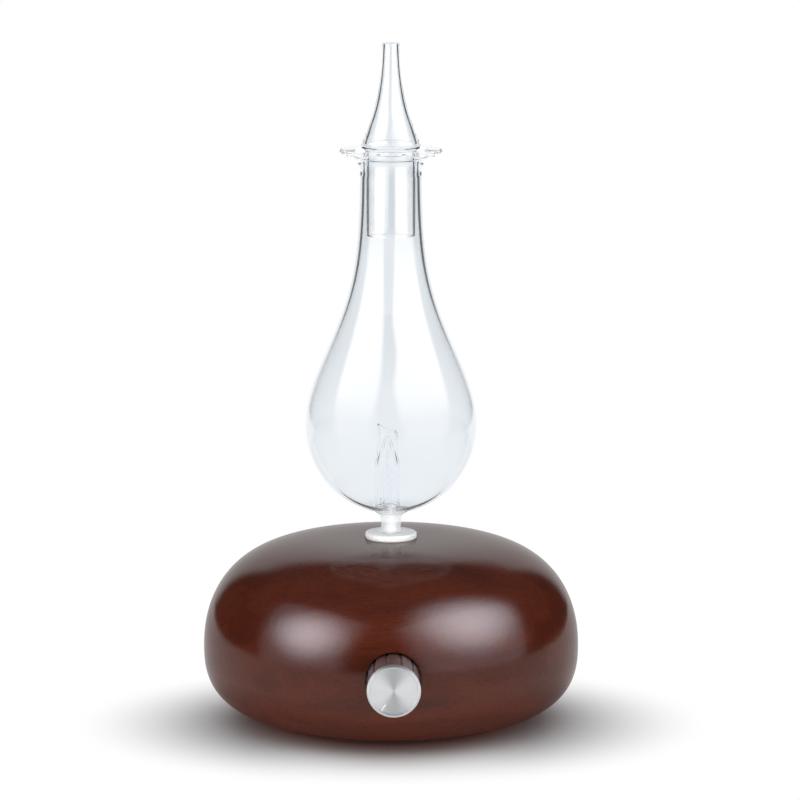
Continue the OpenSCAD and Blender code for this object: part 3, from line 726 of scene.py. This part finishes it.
def stand_for(piece, node, finish=None):
    """The piece takes the place of a CAD node, with that node's body and its finish or a variant of it."""
    slot = SLOT_OF[node]
    if piece.data.materials:
        piece.data.materials[0] = finish or MATERIALS[slot]
    else:
        piece.data.materials.append(finish or MATERIALS[slot])
    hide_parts(node)
    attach(piece, BODY_OF[node])


# ---------------- wooden base

FOOT_STEPS = 30
TOP_STEPS = 72


def soft_mouth(radius, deeper, height, side):
    """Cutter along Y for a round recess whose edge is rounded where it meets the curved wood.

    Deeper lists the (radius, y) steps of the bores behind it, from the innermost to the recess floor.
    """
    edge_r, past, steps = 0.25, 0.4, 5
    angles = circle(128)

    def ring(r, depth):
        points = []
        for a in angles:
            x, z = r * math.cos(a), height + r * math.sin(a)
            points.append((x, side * (math.sqrt(base_radius(z) ** 2 - x * x) - depth), z))
        return points

    def flat_ring(r, y):
        return [(r * math.cos(a), side * y, height + r * math.sin(a)) for a in angles]

    rings = [flat_ring(0, deeper[0][1])]
    rings += [flat_ring(r, y) for r, y in deeper] + [flat_ring(radius, deeper[-1][1])]
    for k in range(steps + 1):
        turn = math.radians(90 / steps * k)
        rings.append(ring(radius + edge_r * (1 - math.cos(turn)), edge_r * (1 - math.sin(turn))))
    widest = radius + edge_r + past
    rings += [ring(widest, -0.6), flat_ring(widest, BASE_R + 3), flat_ring(0, BASE_R + 3)]
    return skin("cutter", rings, loop=False)


def screw_holes(screws):
    """Cutters for a circle of pilot holes."""
    cutters = []
    for i in range(screws["count"]):
        a = math.radians(screws["first"] + 360 / screws["count"] * i)
        x, y = screws["circle"] * math.cos(a), screws["circle"] * math.sin(a)
        cutters.append(rod_z(screws["hole"], screws["low"], screws["high"], x, y))
    return cutters


def turned_base():
    """Hollow squashed dome with a seat for the collar, two recesses and its screw holes."""
    across, down = BASE_FOOT_POWERS
    cut_angle = math.degrees(math.asin(((BASE_WIDE_Z - FOOT_H) / BASE_WIDE_Z) ** (down / 2)))
    turns = [cut_angle * i / FOOT_STEPS for i in range(FOOT_STEPS, 0, -1)]
    lower = [squircle(BASE_R, BASE_WIDE_Z, across, down, turn) for turn in turns]
    seat_r = COLLAR_R + LOOSE
    across, up = BASE_TOP_POWERS
    top_angle = math.degrees(math.acos((seat_r / BASE_R) ** (across / 2)))
    turns = [top_angle * i / TOP_STEPS for i in range(TOP_STEPS + 1)]
    upper = [squircle(BASE_R, BASE_TOP - BASE_WIDE_Z, across, up, turn) for turn in turns]
    outline = [(r, BASE_WIDE_Z - drop) for r, drop in lower]
    outline += [(r, BASE_WIDE_Z + rise) for r, rise in upper]
    outline += [(seat_r, COLLAR_SEAT), (THROAT_R, COLLAR_SEAT), (THROAT_R, CAVITY_TOP)]
    outline += [(CAVITY_R, CAVITY_TOP), (CAVITY_R, PLATE_LEDGE)]
    outline += [(PLATE_R + LOOSE, PLATE_LEDGE), (PLATE_R + LOOSE, FOOT_H)]
    base = lathe("turned_base", outline, segments=320)
    mouths = [
        soft_mouth(KNOB_R + KNOB_GAP, KNOB_BORES, KNOB_Z, -1),
        soft_mouth(JACK_RECESS_R, JACK_BORES, JACK_Z, 1),
    ]
    return carve(base, mouths + screw_holes(PLATE_SCREWS) + screw_holes(SOCKET_SCREWS))


def silicone_collar():
    """Ring that centres the glass stem and covers the throat."""
    bore = STEM_R + 0.25
    corners = [
        (bore, COLLAR_LOW.z, 0.2), (THROAT_R - 0.1, COLLAR_LOW.z, 0.3), (THROAT_R - 0.1, COLLAR_SEAT, 0),
        (COLLAR_R, COLLAR_SEAT, 0.9), (COLLAR_R, COLLAR_TOP, 0.75), (bore, COLLAR_TOP, 0.45),
    ]
    return lathe("silicone_collar", rounded(corners, 8), segments=160)


# ---------------- glass


def blown_reservoir():
    """Stem, bulb, neck and flared lip, with an even wall."""
    lip_z = LIP_TOP - LIP_T
    end_r = 0.4
    outer = [(STEM_BORE_R, STEM_END), (STEM_R - end_r, STEM_END)]
    outer += arc((STEM_R - end_r, STEM_END + end_r), end_r, -90, 0, 5)
    outer += arc((STEM_R + STEM_FILLET_R, STEM_FILLET_Z), STEM_FILLET_R, 180, 105, 16)
    outer += bowl(BULB_R, BOWL_H, BOWL_LOW_R)
    outer += shoulder(BULB_R, NECK_R)
    reach = LIP_R - NECK_R - 0.6
    quarter = [math.radians(90 * i / 24) for i in range(1, 25)]
    outer += [(NECK_R + reach * (1 - math.cos(a)), NECK_TOP + FLARE_RISE * math.sin(a)) for a in quarter]
    outer += arc((LIP_R - LIP_T / 2, lip_z + LIP_T / 2), LIP_T / 2, -90, 90, 16)
    inner = arc((NECK_IN_R + FLARE_IN_R, LIP_TOP - FLARE_IN_R), FLARE_IN_R, 90, 180, 16)
    inner += shoulder(BULB_R - GLASS_T, NECK_IN_R)[::-1]
    inner += bowl(BULB_R - GLASS_T, BOWL_H - GLASS_T, FLOOR_R)[::-1]
    inner += [(STEM_BORE_R, FLOOR_Z)]
    return lathe("blown_reservoir", outer + inner, segments=256)


def spray_nozzle():
    """Outer tube of the nozzle, with a slanted and fire-polished mouth and three feed holes."""
    low_r, high_r, wall = SLEEVE_LOW_R, SLEEVE_HIGH_R, SLEEVE_T
    angles = circle(96)
    slope = math.tan(math.radians(SLEEVE_SLANT))

    def mouth(r, drop):
        cut = [SLEEVE_TOP + slope * (high_r - r * math.cos(a)) - drop for a in angles]
        return [(NOZZLE_X + r * math.cos(a), r * math.sin(a), z) for a, z in zip(angles, cut)]

    def level(r, z):
        return [(NOZZLE_X + r * math.cos(a), r * math.sin(a), z) for a in angles]

    rim = [mouth(r, -h) for r, h in arc((high_r - wall / 2, -wall / 2), wall / 2, 0, 180, 10)]
    outside = bezier((low_r, 83.5), (low_r, 86.5), (high_r, 87), (high_r, 90.5), 12)
    inside = [(r - wall, z) for r, z in outside[::-1]]
    rings = [level(low_r - wall, FLOOR_Z), level(low_r, FLOOR_Z)]
    rings += [level(r, z) for r, z in outside] + rim + [level(r, z) for r, z in inside]
    tube = skin("spray_nozzle", rings)
    holes = [rod_y(FEED_HOLE_R, 0.5, 6) for _ in range(FEED_HOLES)]
    place = Matrix.Translation((NOZZLE_X * MM, 0, (FLOOR_Z + FEED_HOLE_RISE) * MM))
    for i, hole in enumerate(holes):
        turn = Matrix.Rotation(math.radians(360 / FEED_HOLES * i - 90), 4, "Z")
        hole.data.transform(place @ turn)
    return carve(tube, holes)


def jet_nozzle():
    """Inner tube, drawn down to a fine jet."""
    outline = [(JET_BORE_R, FLOOR_Z), (JET_R, FLOOR_Z)]
    outline += bezier((JET_R, 89.6), (JET_R, 91.6), (1.15, 92.2), (0.9, 93.9), 14)
    outline += arc((0.62, 93.92), 0.28, 0, 180, 6)
    outline += bezier((0.36, 93.2), (0.5, 92), (JET_BORE_R, 91.2), (JET_BORE_R, 89.6), 12)
    return lathe("jet_nozzle", outline, segments=64, centre_x=NOZZLE_X)


def blown_stopper():
    """Hollow plug, flat flange and drawn-out tip."""
    top = FLANGE_Z + FLANGE_T
    edge = FLANGE_T / 2
    outer = [(PLUG_IN_R + 0.3, PLUG_Z)]
    outer += arc((PLUG_R - 0.5, PLUG_Z + 0.5), 0.5, -90, 0, 6)
    outer += arc((PLUG_R + 0.35, FLANGE_Z - 0.1), 0.35, 180, 100, 4)
    outer += arc((FLANGE_R - edge, FLANGE_Z + edge), edge, -90, 90, 16)
    outer += bezier((11.8, top), (10.9, top), (10.3, top + 0.3), (9.9, top + 0.9), 8)
    outer += bezier((9.9, top + 0.9), (7.4, 196.2), (2.3, TIP_Z - 16.2), (TIP_R, TIP_Z - 0.5))[1:]
    inner = arc((TIP_R - 0.5, TIP_Z - 0.5), 0.5, 0, 180, 10)
    inner += bezier((8, 190.5), (5.4, TIP_Z - 21.7), (3.2, TIP_Z - 24.4), (1.95, TIP_Z - 0.6))[::-1]
    inner += bezier((8, 190.5), (8.2, 189.4), (PLUG_IN_R, 189.4), (PLUG_IN_R, 187.5), 10)[1:]
    inner += [(PLUG_IN_R, PLUG_Z + 0.4)]
    return lathe("blown_stopper", outer + inner, segments=192)


# ---------------- knob and power inlet


def grip_angles(groove_r, centre_r):
    """Angles round the knob that fit its grooves, and the groove depth at each."""
    reach = math.acos((KNOB_R**2 + centre_r**2 - groove_r**2) / (2 * KNOB_R * centre_r))
    pitch = math.tau / GRIP_COUNT
    found = []
    for i in range(GRIP_COUNT):
        middle = pitch * (i + 0.5)
        for k in range(12):
            away = reach * (k / 6 - 1)
            inside = max(0, groove_r**2 - (centre_r * math.sin(away)) ** 2)
            near = centre_r * math.cos(away) - math.sqrt(inside)
            found.append((middle + away, KNOB_R - near))
        gap = pitch - 2 * reach
        found += [(middle + reach + gap * k / 10, 0) for k in range(10)]
    return found


def spun_knob():
    """Aluminium knob: recessed spun face, a chamfer, and grip grooves that stop short of it."""
    angles = grip_angles(GROOVE_R, KNOB_R + GROOVE_OUT)
    grooved_len = KNOB_LEN - GROOVE_STOP
    floor_h = KNOB_LEN - KNOB_FACE_STEP
    soft = 0.12
    corner = KNOB_CHAMFER + 0.05

    def ring(r, h, grooved=False):
        points = []
        for a, depth in angles:
            radius = r - depth if grooved else r
            points.append((radius * math.cos(a), -KNOB_REAR - h, KNOB_Z + radius * math.sin(a)))
        return points

    rings = [ring(0, floor_h), ring(KNOB_R - 1.15, floor_h)]
    front = arc((KNOB_R - 0.93, KNOB_LEN - soft), soft, 150, 90, 3)
    front += arc((KNOB_R - corner, KNOB_LEN - soft), soft, 90, 45, 3)
    front += arc((KNOB_R - soft, KNOB_LEN - corner), soft, 45, 0, 3)
    rings += [ring(r, h) for r, h in front]
    rings += [ring(KNOB_R, grooved_len), ring(KNOB_R, grooved_len, True), ring(KNOB_R, 0.4, True)]
    rings += [ring(KNOB_R - 0.4, 0, True), ring(INSERT_R, 0), ring(INSERT_R, INSERT_DEPTH)]
    rings += [ring(SHAFT_HOLE_R, INSERT_DEPTH), ring(SHAFT_HOLE_R, KNOB_LEN - 2.5), ring(0, KNOB_LEN - 2.5)]
    knob = skin("spun_knob", rings, sharp=FINE_SHARP_ANGLE)
    face_y = -KNOB_REAR - KNOB_LEN
    mark = block("cutter", (-0.25, face_y - 1, -KNOB_R + 0.7), (0.25, face_y + 0.37, -KNOB_R + 3.4))
    turn = Matrix.Rotation(math.radians(KNOB_OFF_ANGLE), 4, "Y")
    mark.data.transform(Matrix.Translation((0, 0, KNOB_Z * MM)) @ turn)
    mark.data.materials.append(indicator_paint())
    knob.data.materials.append(MATERIALS["spun_aluminium"])
    return carve(knob, [mark], sharp=FINE_SHARP_ANGLE)


def jack_body():
    """Power inlet: rounded flange, barrel and two solder tags."""
    corners = [
        (0, 40.5, 0), (4, 40.5, 0.3), (4, JACK_RECESS_Y, 0), (5.6, JACK_RECESS_Y, 0.15),
        (5.6, JACK_FRONT, 0.45), (2.9, JACK_FRONT, 0.3), (2.9, 45.5, 0), (0, 45.5, 0),
    ]
    tags = [
        block("tag", (-0.7, 36.5, JACK_Z - 0.25), (0.7, 41, JACK_Z + 0.25), 0.08),
        block("tag", (-0.7, 37.5, JACK_Z - 2.85), (0.7, 41, JACK_Z - 2.35), 0.08),
    ]
    return join("jack_body", [lathe_y("barrel", rounded(corners, 5), JACK_Z, 96), *tags])


def contact_pin():
    """Centre contact of the inlet, with a domed end."""
    low, high = span("power_jack_pin")
    radius = (high.x - low.x) / 2
    outline = [(0, low.y), (radius, low.y)]
    outline += arc((radius - 0.5, high.y - 0.5), 0.5, 0, 90, 6)
    outline.append((0, high.y))
    return lathe_y("contact_pin", outline, JACK_Z, 48)


stand_for(turned_base(), "wood_base")
stand_for(silicone_collar(), "glass_collar")
stand_for(blown_reservoir(), "glass_reservoir")
stand_for(spray_nozzle(), "spray_sleeve", clear_glass("nozzle_glass", THIN_GLASS).material)
stand_for(jet_nozzle(), "air_jet_tube", clear_glass("jet_glass", JET_GLASS).material)
stand_for(blown_stopper(), "glass_stopper", varied_glass("stopper_glass", STOPPER_BENDING))
stand_for(spun_knob(), "knob_shell")
stand_for(jack_body(), "power_jack_body")
stand_for(contact_pin(), "power_jack_pin")


# ---------------- studio

DARK = 0.02
FLOOR_GREY = 0.9
WALL_EDGE = (math.cos(math.radians(33)), math.cos(math.radians(22)))
WALL_TOP = (math.sin(math.radians(38)), math.sin(math.radians(28)))
STEEP = (0.55, 0.75)
ROOM_HEIGHTS = (0.3, 0.8)
ROOM_LOW = (0.022, 0.026, 0.033)
ROOM_HIGH = (0.12, 0.12, 0.125)
ROOM_IN_GLASS = 0.45
# the shadow round the base is cast by the floor lamp and partly painted: it ends at an oval of these radii,
# stretched sideways and moved forward, and the floor is painted darker beside the base
SHADOW_EDGE = (0.036, 0.080)
SHADOW_STRETCH = 0.75
SHADOW_FORWARD = 0.012
SHADOW_BESIDE = 0.6
STUDIO_R = 12
PLAIN_WHITE = (1.0, 1.0, 1.0)
WHITE_THROUGH_GLASS = (0.85, 0.884, 0.922)
PANEL_ON_LACQUER = (0.95, 0.97, 1.06)
PANEL_IN_GLASS = (1.05, 0.98, 0.90)


def direction_to(azimuth, elevation):
    """Unit vector from the object to a place round it. Azimuth 0 is in front."""
    level = math.cos(elevation)
    return Vector((math.sin(azimuth) * level, -math.cos(azimuth) * level, math.sin(elevation)))


def emission(name):
    """Material that only glows, and its tree."""
    material = bpy.data.materials.new(name)
    material.use_nodes = True
    tree = material.node_tree
    tree.nodes.remove(tree.nodes["Principled BSDF"])
    glow = add(tree, "Emission")
    tree.links.new(glow.outputs["Emission"], tree.nodes["Material Output"].inputs["Surface"])
    return material, tree, glow


def softbox(name, azimuth, elevation, half_size, spot=0.0, even=0.0, in_glass=0.0):
    """Glowing see-through panel aimed at the base, and seen only in reflections and through glass.

    Spot is the strength of its round bright middle, and even the strength all over. Mirror-smooth
    surfaces see it even, as strong as in_glass. The knob doesn't see it, and has lamps of its own.
    """
    distance, margin, sharpness = 0.55, 1.15, 3
    mesh = bpy.data.meshes.new(name)
    x, y = half_size[0] * margin, half_size[1]
    mesh.from_pydata([(-x, -y, 0), (x, -y, 0), (x, y, 0), (-x, y, 0)], [], [(0, 1, 2, 3)])
    panel = bpy.data.objects.new(name, mesh)
    bpy.context.scene.collection.objects.link(panel)
    place = direction_to(math.radians(azimuth), math.radians(elevation))
    turn = place.to_track_quat("Z", "Y").to_matrix().to_4x4()
    panel.matrix_world = Matrix.Translation(place * distance) @ turn
    material, tree, glow = emission(name)
    source, split = add(tree, "TexCoord"), add(tree, "SeparateXYZ")
    tree.links.new(source.outputs["Object"], split.inputs["Vector"])
    across = combine(tree, "POWER", combine(tree, "DIVIDE", split.outputs["X"], half_size[0]), 2)
    along = combine(tree, "POWER", combine(tree, "DIVIDE", split.outputs["Y"], half_size[1]), 2)
    dome = combine(tree, "MAXIMUM", combine(tree, "SUBTRACT", 1, combine(tree, "ADD", across, along)), 0)
    peak = combine(tree, "MULTIPLY", combine(tree, "POWER", dome, sharpness), spot)
    middle = combine(tree, "ADD", peak, even)
    sides = combine(tree, "MULTIPLY", ease(tree, across, 1.3, 0.5), ease(tree, along, 1.0, 0.6))
    choice, path = add(tree, "Mix"), add(tree, "LightPath")
    tree.links.new(path.outputs["Is Singular Ray"], choice.inputs[0])
    tree.links.new(middle, choice.inputs[2])
    upright = ease(tree, split.outputs["Y"], -0.15, 0.1, 0.8 * in_glass, 1.9 * in_glass)
    tree.links.new(upright, choice.inputs[3])
    tree.links.new(combine(tree, "MULTIPLY", sides, choice.outputs[0]), glow.inputs["Strength"])
    color = mix_colors(tree, path.outputs["Is Singular Ray"], PANEL_ON_LACQUER, PANEL_IN_GLASS)
    tree.links.new(color, glow.inputs["Color"])
    clear, both = add(tree, "BsdfTransparent"), add(tree, "AddShader")
    tree.links.new(glow.outputs["Emission"], both.inputs[0])
    tree.links.new(clear.outputs["BSDF"], both.inputs[1])
    tree.links.new(both.outputs["Shader"], tree.nodes["Material Output"].inputs["Surface"])
    mesh.materials.append(material)
    panel.visible_camera = False
    panel.visible_diffuse = False
    panel.visible_shadow = False
    choose_lit(panel, bpy.data.objects["spun_knob"], "EXCLUDE")


def choose_lit(light, group, linking):
    """The light reaches only the given object (INCLUDE), or everything but it (EXCLUDE)."""
    lit = bpy.data.collections.new(light.name)
    lit.objects.link(group)
    lit.collection_objects[0].light_linking.link_state = linking
    light.light_linking.receiver_collection = lit


def lamp(name, place, size, power, group, linking, reflected=False):
    """Soft lamp of a width and height, aimed at the base. Reflected lamps show in shiny pieces."""
    data = bpy.data.lights.new(name, "AREA")
    data.shape = "RECTANGLE"
    data.energy = power
    data.size, data.size_y = size
    light = bpy.data.objects.new(name, data)
    light.location = place
    light.rotation_euler = Vector(place).to_track_quat("Z", "Y").to_euler()
    light.visible_camera = False
    light.visible_glossy = reflected
    light.visible_transmission = False
    bpy.context.scene.collection.objects.link(light)
    choose_lit(light, group, linking)


def straight_ray(tree, path):
    """1 for the camera's own rays, also through clear glass, and 0 for reflections."""
    mirrored = combine(tree, "ADD", path.outputs["Glossy Depth"], path.outputs["Diffuse Depth"])
    direct = combine(tree, "LESS_THAN", mirrored, 0.5)
    through = combine(tree, "MULTIPLY", path.outputs["Is Transmission Ray"], direct)
    return combine(tree, "MAXIMUM", path.outputs["Is Camera Ray"], through)


def glass_face_ray(tree, path):
    """Brightness of the room for rays mirrored by the outer face of the glass, and 0 for others."""
    outer = combine(tree, "LESS_THAN", path.outputs["Transmission Depth"], 0.5)
    mirrored = combine(tree, "MULTIPLY", path.outputs["Is Singular Ray"], path.outputs["Is Glossy Ray"])
    return combine(tree, "MULTIPLY", combine(tree, "MULTIPLY", outer, mirrored), ROOM_IN_GLASS)


def trapped_ray(tree, path):
    """1 for rays that leave the glass after more than one reflection inside it."""
    often = combine(tree, "GREATER_THAN", path.outputs["Glossy Depth"], 1.5)
    return combine(tree, "MULTIPLY", path.outputs["Is Transmission Ray"], often)


def bright_color(tree, path):
    """Colour of the bright places: white, and a cooler grey through glass."""
    return mix_colors(tree, path.outputs["Is Transmission Ray"], PLAIN_WHITE, WHITE_THROUGH_GLASS)


def flat_length(tree, vector):
    """Length of a vector's level part."""
    flat, length = add(tree, "VectorMath"), add(tree, "VectorMath")
    flat.operation = "MULTIPLY"
    flat.inputs[1].default_value = (1, 1, 0)
    length.operation = "LENGTH"
    tree.links.new(vector, flat.inputs[0])
    tree.links.new(flat.outputs["Vector"], length.inputs[0])
    return length.outputs["Value"]


def studio_floor():
    """Wide pale floor: matt and lit by a lamp near the object, glowing plain white further out.

    The shadow round the base is cast by that lamp and partly painted: the white glow starts at an oval,
    stretched sideways and moved forward, and the matt floor is painted darker to the base's left and right.
    Diffuse rays see the floor glowing white everywhere, also under the object.
    Reflections see it grey, with a white strip that runs to the wall behind.
    """
    mesh = bpy.data.meshes.new("floor")
    rim = [(STUDIO_R * math.cos(a), STUDIO_R * math.sin(a), -0.00005) for a in circle(64)]
    mesh.from_pydata(rim, [], [tuple(range(len(rim)))])
    floor = bpy.data.objects.new("floor", mesh)
    bpy.context.scene.collection.objects.link(floor)
    material, tree, glow = emission("floor")
    material.cycles.emission_sampling = "NONE"
    source, split = add(tree, "TexCoord"), add(tree, "SeparateXYZ")
    place = source.outputs["Object"]
    tree.links.new(place, split.inputs["Vector"])
    path = add(tree, "LightPath")
    plain = combine(tree, "MAXIMUM", straight_ray(tree, path), path.outputs["Is Diffuse Ray"])
    plain = combine(tree, "MAXIMUM", plain, trapped_ray(tree, path))
    reach = flat_length(tree, place)
    wedge = ease(tree, combine(tree, "DIVIDE", split.outputs["Y"], reach), *WALL_EDGE)
    aside = ease(tree, combine(tree, "ABSOLUTE", split.outputs["X"], 0), 0.6, 0.45)
    strip = combine(tree, "MULTIPLY", aside, ease(tree, split.outputs["Y"], 0.2, 0.32))
    white = combine(tree, "MAXIMUM", plain, combine(tree, "MAXIMUM", wedge, strip))
    near_grey = ease(tree, reach, 0.75, 0.5, DARK, FLOOR_GREY)
    grey = combine(tree, "MAXIMUM", near_grey, glass_face_ray(tree, path))
    tree.links.new(combine(tree, "MAXIMUM", white, grey), glow.inputs["Strength"])
    tree.links.new(bright_color(tree, path), glow.inputs["Color"])
    matt, choice = add(tree, "BsdfDiffuse"), add(tree, "MixShader")
    # painted shadow: the matt floor is darker to the left and right of the base
    painted_shadow_beside = ease(tree, combine(tree, "ABSOLUTE", split.outputs["X"], 0), 0.02, 0.05, 1, SHADOW_BESIDE)
    seen_or_mirrored = ease(tree, plain, 0, 1, 0.5, 0.86)
    matt_level = combine(tree, "MULTIPLY", seen_or_mirrored, painted_shadow_beside)
    tree.links.new(matt_level, matt.inputs["Color"])
    # painted shadow edge: past this oval, stretched sideways and moved forward, the floor glows white and the
    # lamp's shadow ends
    painted_shadow_oval = add(tree, "VectorMath")
    painted_shadow_oval.operation = "MULTIPLY_ADD"
    painted_shadow_oval.inputs[1].default_value = (SHADOW_STRETCH, 1, 1)
    painted_shadow_oval.inputs[2].default_value = (0, SHADOW_FORWARD, 0)
    tree.links.new(place, painted_shadow_oval.inputs[0])
    outside = ease(tree, flat_length(tree, painted_shadow_oval.outputs["Vector"]), *SHADOW_EDGE)
    glow_past_painted_shadow = combine(tree, "MAXIMUM", outside, path.outputs["Is Diffuse Ray"])
    tree.links.new(glow_past_painted_shadow, choice.inputs["Fac"])
    tree.links.new(matt.outputs["BSDF"], choice.inputs[1])
    tree.links.new(glow.outputs["Emission"], choice.inputs[2])
    tree.links.new(choice.outputs["Shader"], tree.nodes["Material Output"].inputs["Surface"])
    mesh.materials.append(material)
    return floor


def studio_world():
    """Dark studio with a bright wall behind the object. The camera sees plain white."""
    world = bpy.data.worlds.new("studio")
    bpy.context.scene.world = world
    world.use_nodes = True
    tree = world.node_tree
    source, split = add(tree, "TexCoord"), add(tree, "SeparateXYZ")
    direction = source.outputs["Generated"]
    tree.links.new(direction, split.inputs["Vector"])
    path = add(tree, "LightPath")
    wedge = ease(tree, combine(tree, "DIVIDE", split.outputs["Y"], flat_length(tree, direction)), *WALL_EDGE)
    wall = combine(tree, "MULTIPLY", wedge, ease(tree, split.outputs["Z"], *WALL_TOP))
    steep = ease(tree, combine(tree, "ABSOLUTE", split.outputs["Z"], 0), *STEEP)
    bent = combine(tree, "MULTIPLY", steep, straight_ray(tree, path))
    bent = combine(tree, "MAXIMUM", bent, trapped_ray(tree, path))
    white = combine(tree, "MAXIMUM", straight_ray(tree, path), combine(tree, "MAXIMUM", wall, bent))
    white = combine(tree, "MAXIMUM", white, glass_face_ray(tree, path))
    room = mix_colors(tree, ease(tree, split.outputs["Z"], *ROOM_HEIGHTS), ROOM_LOW, ROOM_HIGH)
    sight = mix_colors(tree, white, room, bright_color(tree, path))
    tree.links.new(sight, tree.nodes["Background"].inputs["Color"])


def camera():
    """Long lens, a little above the object and a touch to its left."""
    data = bpy.data.cameras.new("camera")
    data.sensor_width = 36
    data.lens = 153
    data.clip_end = 60
    eye = bpy.data.objects.new("camera", data)
    azimuth, elevation, distance = math.radians(-0.8), math.radians(9.4), 1.12426
    target = Vector((0.00298, 0, 0.10627))
    back = direction_to(azimuth, elevation)
    eye.location = target + back * distance
    eye.rotation_euler = back.to_track_quat("Z", "Y").to_euler()
    bpy.context.scene.collection.objects.link(eye)
    bpy.context.scene.camera = eye


def picture():
    """Plain colour handling, and enough bounces for the glass."""
    through_glass = 24
    scene = bpy.context.scene
    scene.view_settings.view_transform = "Standard"
    scene.cycles.use_denoising = True
    scene.cycles.max_bounces = through_glass
    scene.cycles.transmission_bounces = through_glass
    scene.cycles.transparent_max_bounces = through_glass
    scene.cycles.glossy_bounces = 8
    scene.cycles.diffuse_bounces = 4
    scene.cycles.caustics_refractive = False
    scene.cycles.caustics_reflective = False


floor = studio_floor()
studio_world()
softbox("spot_left", -54, 28, (0.34, 0.32), spot=13.1)
softbox("spot_right", 55, 39.5, (0.45, 0.42), spot=12.9)
softbox("panel_left", -56, 25, (0.31, 0.33), even=1.3, in_glass=1.9)
softbox("panel_right", 50, 25, (0.42, 0.33), even=1.7, in_glass=1.9)
knob = bpy.data.objects["spun_knob"]
collar = bpy.data.objects["silicone_collar"]
lamp("floor_lamp", (0, 0.03, 0.65), (8, 4.5), 88, floor, "INCLUDE")
lamp("top_lamp", (0, 0.1, 1.3), (1.6, 1.6), 12, floor, "EXCLUDE")
lamp("collar_lamp", (0, -0.1, 1.1), (0.8, 0.8), 4, collar, "INCLUDE")
for side, sign in (("left", -1), ("right", 1)):
    lamp(f"front_lamp_{side}", (0.60 * sign, -0.64, 0.12), (0.5, 0.5), 8, floor, "EXCLUDE")
for side, sign in (("left", -1), ("right", 1)):
    lamp(f"knob_lamp_{side}", (0.17 * sign, -0.20, 0.04), (0.22, 0.26), 0.31, knob, "INCLUDE", reflected=True)
camera()
picture()
